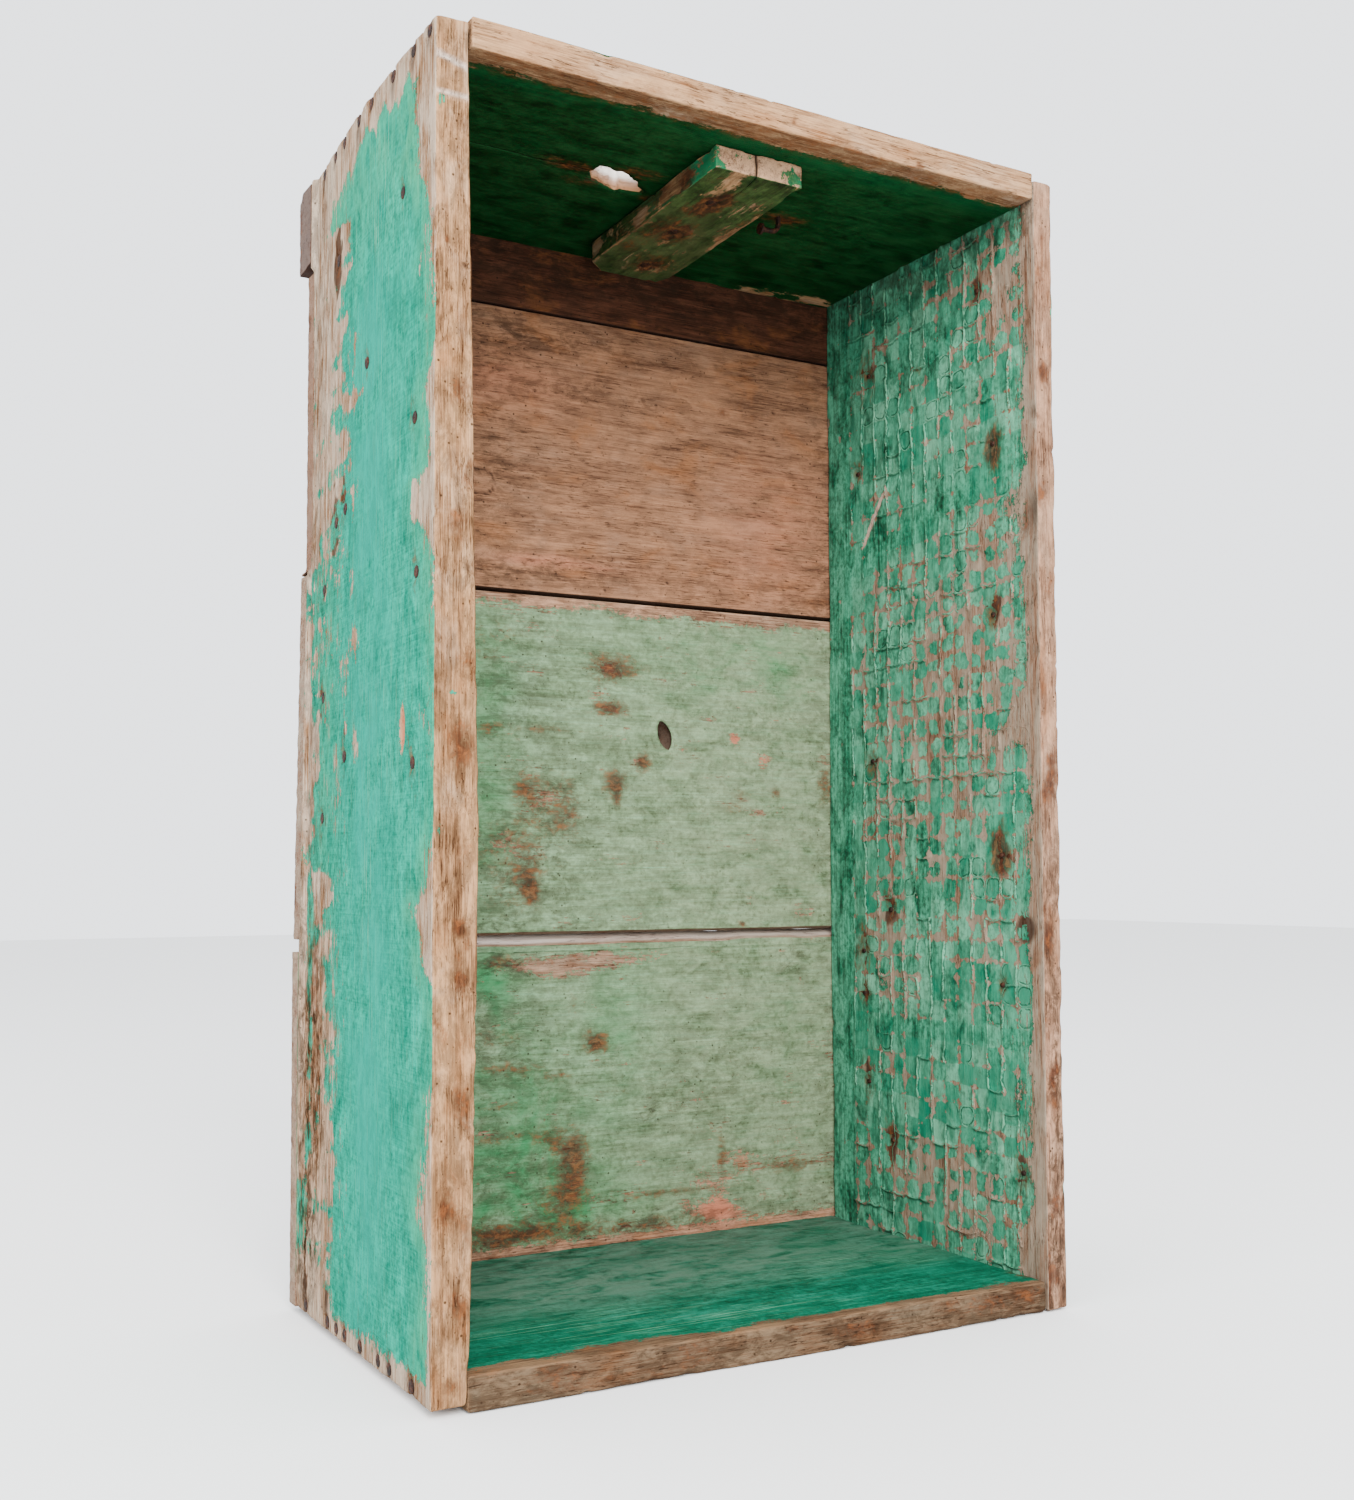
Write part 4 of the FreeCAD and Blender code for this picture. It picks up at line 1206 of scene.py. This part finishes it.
# ---- the top board -------------------------------------------------------------------------
KNOTHOLE = (148.0, 99.0)            # its middle, in X and Y
KNOTHOLE_RIM = (                    # its outline, from the middle
    (-19, -6), (-14, -12), (0, -11), (11, -5), (20, 6), (11, 12), (-2, 11), (-12, 5),
)
CRACK_RUN = (26.0, 134.0, 94.5)     # from X, to X, at Y
TOP_THICKNESS = 16.0                # of the board itself, which slopes within its box


def smooth_loop(corners, steps=8):
    """A smooth closed outline through the corners."""
    p = [np.roll(corners, shift, 0) for shift in (1, 0, -1, -2)]
    pieces = []
    for step in range(steps):
        t = step / steps
        a = 2 * p[1] + (p[2] - p[0]) * t + (2 * p[0] - 5 * p[1] + 4 * p[2] - p[3]) * t**2
        pieces.append(0.5 * (a + (3 * p[1] - p[0] - 3 * p[2] + p[3]) * t**3))
    return np.stack(pieces, 1).reshape(-1, 2)


def top_board(material):
    """The board under the roof: dark green below, with the knothole and a crack through it."""
    lo, hi = box_of("top_board")
    drop = (hi[2] - lo[2]) - TOP_THICKNESS
    corners = ((lo[0], lo[1], lo[2] + drop), hi)
    rim = smooth_loop(np.array(KNOTHOLE_RIM, float) + KNOTHOLE)
    jagged = rough(np.pad(rim, ((0, 0), (0, 1))), (4, 4, 4), 409, 2)[:, None]
    rim += jagged * (rim - KNOTHOLE) * 0.16
    board = Board("top_board", "XYZ", 410, BOARD_PITCH, 1.6, corners, [rim], [CRACK_RUN])
    x, y, z = board.xyz()
    look = board.layers
    under, over, front = board.facing("-Z"), board.facing("+Z"), board.facing("-Y")
    wander = board.rough((18, 8, 9), 411, 4)
    distance = np.minimum(y - 15 + 3.5 * wander, 12 + 2 * wander)
    distance -= 22 * ease(y, 186, 205) * ease(x, 240, 330) * (0.6 + 0.6 * wander)
    gap = np.hypot(x - KNOTHOLE[0], (y - KNOTHOLE[1]) * 1.5)
    distance -= 16 * (1 - ease(gap, 16, 30)) * (0.5 + 0.5 * wander)
    old_coat = -3 + 9 * board.rough((70, 25, 20), 412, 4)
    look["paint"] = by_face((under, distance), (over, old_coat))
    board.weather(0.18, 0.4, 1.2)
    board.sink(front * board.dents((26, 9, 8), 414, 2.0))
    stain = board.nail_marks(8.0)
    rust = patches(x, y, [
        (118, 94, 22, 6, 0.7), (156, 84, 16, 6, 0.6), (262, 97, 14, 8, 0.8), (176, 112, 8, 6, 0.5),
        (128, 110, 12, 5, 0.5),
    ]) * under
    rust += 0.5 * under * (1 - ease(y, 14, 24))
    rust += patches(x, z, [
        (240, 650, 24, 3, 0.4), (120, 652, 30, 3, 0.4), (60, 658, 12, 4, 0.25), (205, 655, 2, 2, 0.8),
        (290, 650, 3, 3, 0.7),
    ]) * front
    look["rust"] = clamp(rust + stain * over)
    char = (1 - ease(gap, 15, 29)) * ease(0.4 * wander + 1, 0.55, 1.0)
    crack = bell(y, CRACK_RUN[2], 1.6) * ease(x, CRACK_RUN[0] - 8, CRACK_RUN[0])
    dark = clamp(char + crack * fall(x, 140, 150))
    look["knot"] = dark * np.maximum(under, over)
    inside_hole = (gap < 26) & (under < 0.3) & (over < 0.3)
    # the arris term lightens worn arrises, and is also a painted highlight along them
    look["pale"] = np.where(inside_hole, 1.0, 0.35 * front + 0.3 * board.arris_near(2.5))
    look["bleached"] = inside_hole * ease(z, corners[0][2] + 5, corners[0][2] + 10)
    look["salmon"] = np.where(inside_hole, 0.3, 0.0)
    look["grey"] = 0.8 * over + 0.1
    look["thin"] = np.full(len(x), 0.25)
    look["fade"] = 0.5 * over + 0.15 * under * ease(y, 5, 30)
    look["tint"] = 0.3 * under * (1 - ease(y, 16, 40))
    look["scratch"] = 0.15 * over
    low_front = fall(z, hi[2] - 16, hi[2] - 11) * front
    look["dirt_and_shade"] = 0.15 * (1 + low_front) - 0.07 * under
    board.points[:, 1] += crack * 1.6 * board.noise((16, 60, 60), 413)
    board.points[:, 2] -= drop * (x - lo[0]) / (hi[0] - lo[0])
    return board.finish(material, "dark_green_painted_board")


# ---- the bottom board ----------------------------------------------------------------------
# Where the paint begins behind the front edge, as (X, Y).
FLOOR_PAINT = ((18, 9), (26, 10), (80, 12), (132, 14), (152, 7), (240, 9), (367, 8))


def bottom_board(material):
    """The floor: green above, dusty towards the back."""
    board = Board("bottom_board", "XYZ", 510, BOARD_PITCH, 3.2)
    x, y, z = board.xyz()
    look = board.layers
    upper, under, front = board.facing("+Z"), board.facing("-Z"), board.facing("-Y")
    wander = board.rough((20, 8, 9), 511, 4)
    distance = np.minimum(y - along(x, FLOOR_PAINT) + 3.5 * wander, 10 + 2 * wander)
    distance += patches(x, y, [(230, 40, 60, 3, -5), (90, 60, 40, 3, -4), (310, 60, 30, 4, -5)])
    look["paint"] = by_face((upper, distance))
    board.weather(0.2, 0.5, 1.6)
    board.sink(front * board.dents((22, 8, 9), 512, 2.2))
    stain = board.nail_marks(8.0)
    rust = patches(x, z, [
        (65, 12, 16, 6, 0.6), (140, 12, 12, 6, 0.6), (200, 14, 14, 4, 0.4), (240, 9, 18, 5, 0.7),
        (300, 13, 14, 4, 0.4), (330, 11, 20, 6, 0.7), (362, 12, 12, 7, 0.6), (100, 5, 60, 3, 0.4),
    ]) * front * 0.7
    rust += patches(x, y, [(372, 20, 6, 12, 0.6), (22, 190, 8, 12, 0.4)]) * upper
    look["rust"] = clamp(rust + stain * (1 - upper))
    look["knot"] = 0.4 * under
    # lighter worn arrises, also a painted highlight along them
    look["pale"] = 0.4 * board.arris_near(3.0)
    look["grey"] = 0.15 + 0.5 * under + 0.45 * front
    look["thin"] = np.full(len(x), 0.2)
    dusty = 0.02 + 0.75 * ease(y, 50, 130)
    dusty = dusty + patches(x, y, [(150, 100, 90, 40, 0.2), (330, 150, 40, 40, -0.3)])
    look["fade"] = upper * clamp(dusty)
    vivid = patches(x, y, [(60, 60, 50, 30, 0.5), (330, 120, 40, 60, 0.7), (200, 26, 160, 10, 0.5)])
    look["tint"] = clamp(vivid) * upper
    streaks = patches(x, y, [(170, 30, 70, 12, 1.0), (110, 60, 60, 16, 0.8), (300, 90, 60, 20, 0.7)])
    look["scratch"] = clamp(streaks + 0.1) * upper
    look["dirt_and_shade"] = 0.75 * front + 0.45 * upper * ease(y, 110, 205) + 0.3 * under
    return board.finish(material, "dark_green_painted_board")


# ---- the batten ----------------------------------------------------------------------------
BATTEN_LENGTH = 165.0       # before it is skewed and tilted
BATTEN_SKEW = math.radians(-0.8)
BATTEN_THICKNESS = 13.5
BATTEN_PITCH = 1.2
SPLIT_PLACE = 0.46          # the share of the width to the left of the split
SPLIT_LENGTH = 40.0


def top_batten(material):
    """The short batten under the top board: skewed, split from the front, with broken corners."""
    lo, hi = box_of("top_batten")
    lean = BATTEN_LENGTH * math.sin(-BATTEN_SKEW)
    tilt = (hi[2] - lo[2]) - BATTEN_THICKNESS
    corners = ((lo[0], lo[1], lo[2] + tilt), (hi[0] - lean, hi[1], hi[2]))
    left_x, right_x = corners[0][0], corners[1][0]
    split_x = left_x + SPLIT_PLACE * (right_x - left_x)
    split_end = lo[1] + SPLIT_LENGTH
    split = (lo[1] - 1, split_end, split_x)
    board = Board("top_batten", "YXZ", 610, BATTEN_PITCH, 1.5, corners, (), [split])
    x, y, z = board.xyz()
    look = board.layers
    under, near, left = board.facing("-Z"), board.facing("-Y"), board.facing("-X")
    side = np.maximum(left, board.facing("+X"))
    wander = board.rough((9, 16, 9), 611, 4)
    distance = 6.5 + 6 * wander
    distance -= 12 * bell(x - left_x, 0.3 * (right_x - left_x), 6) * fall(y, 50, 75)
    distance -= 15 * ease(x, right_x - 6, right_x) * ease(y, 66, 80) * fall(y, 120, 136)
    distance -= 10 * fall(x, left_x, left_x + 6) * ease(y, 60, 80)
    end_spots = [(right_x - 4, hi[2] - 9, 8, 6, 15), (left_x, hi[2] - 5, 5, 8, 8)]
    end_grain = -6 + 8 * wander + patches(x, z, end_spots)
    flank = 3 + 6 * wander - patches(y, z, [(75, hi[2] - 6, 16, 5, 14), (120, hi[2] - 9, 14, 4, 12)])
    look["paint"] = by_face((under, distance), (near, end_grain), (side, flank))
    board.weather(0.2, 0.4, 1.4)
    board.sink(board.dents((7, 14, 7), 612, 1.8, 0.35))
    stain = board.nail_marks(8.0)
    rust = patches(x, y, [
        (199, 66, 9, 14, 0.75), (201, 117, 9, 16, 0.7), (208, 168, 13, 14, 0.8), (186, 120, 8, 20, 0.6),
        (183, 42, 6, 8, 0.35), (192, 84, 9, 9, 0.7), (182, 150, 8, 10, 0.5),
        (right_x - 4, 96, 4, 30, 0.5),
    ]) * under
    rust += patches(y, z, [
        (62, hi[2] - 8, 10, 8, 1.0), (92, hi[2] - 4, 14, 6, 0.7), (140, hi[2] - 8, 20, 5, 0.4),
    ]) * left
    look["rust"] = clamp(rust + 0.7 * stain)
    look["knot"] = bell(x, split_x, 0.9) * fall(y, split_end, split_end + 4)
    # the arris term lightens worn arrises, and is also a painted highlight along them
    look["pale"] = 1.0 * near + 0.2 * board.arris_near(3.0)
    look["bleached"] = 0.06 * near
    look["thin"] = np.full(len(x), 0.5)
    look["fade"] = 0.5 * under * ease(y, 60, 130) + 0.15
    look["tint"] = clamp(left * (1 - ease(y, 60, 110)) + 0.9 * near)
    look["scratch"] = 0.3 * left
    look["dirt_and_shade"] = 0.15 + 0.25 * under
    far = ease(y, hi[1] - 13, hi[1])
    board.points[:, 0] += far * 11 * fall(x - left_x, 0, 14)
    board.points[:, 0] -= far * 4 * ease(x, right_x - 8, right_x)
    bow = np.sin(clamp((split_end - y) / SPLIT_LENGTH) * math.pi) * 2.5
    board.points[:, 0] += bow * bell(x, split_x, 7)
    board.points[:, 0] += (board.points[:, 1] - lo[1]) * math.sin(-BATTEN_SKEW)
    board.points[:, 2] -= tilt * (board.points[:, 0] - lo[0]) / (hi[0] - lo[0])
    return board.finish(material, "dark_green_painted_board")


# ---- nails ---------------------------------------------------------------------------------
SHANK_RADIUS = 1.5
POINT_RADIUS = 0.25
POINT_LENGTH = 4.0
NAIL_SIDES = 20
HEAD_LUMPS = 0.16           # how far hammering has moved the head's surface


def nail_mesh(head, direction, length, pointed, seed):
    """A hammered nail as rings of points round its axis, with a domed, uneven head.  Each ring
    is (radius, depth below the top of the head)."""
    rings = [
        (0.0, 0.5), (0.9, 0.25), (2.0, 0.2), (2.9, 0.35), (3.3, 0.65), (3.35, 1.0), (2.9, 1.45),
        (1.6, 1.6), (SHANK_RADIUS, 3.0), (SHANK_RADIUS, length - POINT_LENGTH),
        (POINT_RADIUS if pointed else SHANK_RADIUS, length), (0.0, length),
    ]
    angle = np.linspace(0, 2 * math.pi, NAIL_SIDES, endpoint=False)
    axis = int(np.argmax(np.abs(direction)))
    side_a, side_b = [(1, 2), (2, 0), (0, 1)][axis]
    points = []
    for radius, depth in rings:
        ring = np.zeros((NAIL_SIDES, 3))
        ring[:, side_a] = radius * np.cos(angle)
        ring[:, side_b] = radius * np.sin(angle)
        ring[:, axis] = depth * direction[axis]
        points.append(ring)
    points = np.concatenate(points)
    lump = noise(points + seed * 13.7, (1.7, 1.7, 1.7), 701)[:, None]
    shallow = np.abs(points[:, [axis]]) < 2.0
    points += lump * shallow * HEAD_LUMPS
    faces = []
    for ring in range(len(rings) - 1):
        for step in range(NAIL_SIDES):
            a = ring * NAIL_SIDES + step
            b = ring * NAIL_SIDES + (step + 1) % NAIL_SIDES
            quad = (a, b, b + NAIL_SIDES, a + NAIL_SIDES)
            faces.append(quad if direction[axis] < 0 else quad[::-1])
    return points + head, np.array(faces)


def nail_group(node, material):
    """The nails of one CAD node, hammered and rusty."""
    points, faces, count = [], [], 0
    for number, (head, direction, length) in enumerate(NAILS[node]):
        some, quads = nail_mesh(head, direction, length, "old" not in node, number + len(node))
        points.append(some)
        faces.append(quads + count)
        count += len(some)
    return add_mesh(node + "_rusty", np.concatenate(points), np.concatenate(faces), {}, material,
                    [node])


# ---- build ---------------------------------------------------------------------------------
def shades(*colours):
    """Several colours, each given as (red, green, blue) screen values."""
    return tuple(srgb(*colour) for colour in colours)


# wood is (dark, middle, light, grey)
PINE = shades((54, 33, 20), (116, 84, 58), (158, 121, 86), (152, 138, 122))
FLOOR_PINE = shades((40, 27, 18), (78, 58, 42), (112, 86, 62), (84, 74, 60))
BROWN = shades((58, 35, 23), (106, 74, 54), (134, 96, 71), (104, 84, 70))
# brown wood made darker, in part as painted shadow under the top board
SHADOW_DARKENED_BROWN = shades((26, 12, 6), (54, 29, 17), (80, 47, 32), (60, 38, 26))
ROSY = shades((52, 31, 22), (110, 80, 61), (156, 120, 95), (122, 110, 95))
# paint is (deep, body, bright, faded, accent)
TURQUOISE = shades((0, 86, 68), (0, 114, 93), (0, 140, 116), (44, 128, 96), (0, 122, 104))
GREEN = shades((0, 36, 22), (10, 88, 62), (58, 142, 110), (108, 162, 132), (0, 100, 74))
# the top board's dark green paint, made darker still in part as painted shade under the roof
DARK_GREEN = shades((0, 20, 5), (0, 38, 11), (10, 52, 22), (40, 78, 46), (8, 84, 48))
BATTEN_GREEN = shades((10, 28, 10), (34, 56, 24), (60, 82, 42), (74, 78, 48), (6, 104, 68))
FLOOR_GREEN = shades((2, 50, 32), (4, 74, 53), (24, 104, 82), (76, 98, 82), (0, 78, 54))
SAGE = shades((62, 74, 50), (88, 107, 78), (110, 136, 104), (114, 120, 94), (24, 104, 60))

left_side_board(board_material("turquoise_board", "Z", PINE, TURQUOISE, gloss=0.0, calm=1.1,
                               sawn=True))
right_side_board(board_material("green_board", "Z", ROSY, GREEN, wires=True, ragged=6.0, gloss=0.06))
top_board(board_material("dark_board", "X", PINE, DARK_GREEN, ragged=4.0, gloss=0.03))
bottom_board(board_material("floor_board", "X", FLOOR_PINE, FLOOR_GREEN, ragged=5.0, gloss=0.02,
                            calm=1.4))
top_batten(board_material("batten_board", "Y", PINE, BATTEN_GREEN, ragged=6.0))
pale_board = board_material("pale_board", "X", ROSY, SAGE, ragged=8.0, soft=1.8, calm=1.35)
bottom_back_board(pale_board)
lower_back_board(pale_board)
upper_back_board(board_material("raw_board", "X", BROWN, SAGE))
# its darker brown is partly painted shadow under the top board
top_back_board(board_material("shadow_darkened_board", "X", SHADOW_DARKENED_BROWN, SAGE))
iron = rusty_iron()
for nail_node in NAILS:
    nail_group(nail_node, iron)
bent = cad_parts["bent_nail"]
bent.data.materials.clear()
bent.data.materials.append(iron)


# ---- floor, light and camera ---------------------------------------------------------------
FLOOR_HALF = 6              # metres, like everything below
FLOOR_COLOUR = (0.78, 0.78, 0.77, 1)
SKY_COLOUR = (0.93, 0.96, 1.0, 1)
SKY_STRENGTH = 2.7
LAMPS = (                   # name, place, what it is aimed at, size, watts
    ("key", (-0.9, -2.6, 1.9), (0, 0, 0.33), 1.8, 270.0),
    ("fill", (-2.2, -0.9, 1.2), (0, 0, 0.3), 1.6, 48.0),
)
CAMERA_PLACE = (-0.4694, -0.8222, 0.2490)
CAMERA_ANGLES = (29.137, 2.790, -0.142)     # degrees: to the right of ahead, up, and rolled
SENSOR_MM = 36
LENS_MM = 38.81
LENS_SHIFT = (0.0145, 0.0312)


def new_object(name, data):
    """A new object that is in the scene."""
    thing = bpy.data.objects.new(name, data)
    bpy.context.scene.collection.objects.link(thing)
    return thing


def floor_and_light():
    """A pale floor, an even sky and two soft lamps."""
    mesh = bpy.data.meshes.new("floor")
    corners = [
        (-FLOOR_HALF, -FLOOR_HALF, 0), (FLOOR_HALF, -FLOOR_HALF, 0), (FLOOR_HALF, FLOOR_HALF, 0),
        (-FLOOR_HALF, FLOOR_HALF, 0),
    ]
    mesh.from_pydata(corners, [], [(0, 1, 2, 3)])
    plain = Shader("pale_floor")
    plain.fill(plain.surface, Base_Color=FLOOR_COLOUR, Roughness=0.9)
    mesh.materials.append(plain.material)
    new_object("floor", mesh)
    world = bpy.context.scene.world or bpy.data.worlds.new("studio")
    bpy.context.scene.world = world
    world.use_nodes = True
    sky = world.node_tree.nodes["Background"]
    sky.inputs["Color"].default_value = SKY_COLOUR
    sky.inputs["Strength"].default_value = SKY_STRENGTH
    for name, place, aim, size, watts in LAMPS:
        light = bpy.data.lights.new(name, "AREA")
        light.size = size
        light.energy = watts
        lamp = new_object(name, light)
        lamp.location = place
        lamp.rotation_euler = (Vector(aim) - Vector(place)).to_track_quat("-Z", "Y").to_euler()


def camera():
    """The camera at the photographed angle."""
    yaw, pitch, roll = (math.radians(angle) for angle in CAMERA_ANGLES)
    forward = math.cos(pitch)
    ahead = Vector((math.sin(yaw) * forward, math.cos(yaw) * forward, math.sin(pitch)))
    level = Vector((math.cos(yaw), -math.sin(yaw), 0))
    lifted = level.cross(ahead)
    right = math.cos(roll) * level + math.sin(roll) * lifted
    up = -math.sin(roll) * level + math.cos(roll) * lifted
    lens = bpy.data.cameras.new("camera")
    lens.sensor_width = SENSOR_MM
    lens.lens = LENS_MM
    lens.shift_x, lens.shift_y = LENS_SHIFT
    eye = new_object("camera", lens)
    turn = Matrix((right, up, -ahead)).transposed().to_4x4()
    eye.matrix_world = Matrix.Translation(CAMERA_PLACE) @ turn
    bpy.context.scene.camera = eye


floor_and_light()
camera()
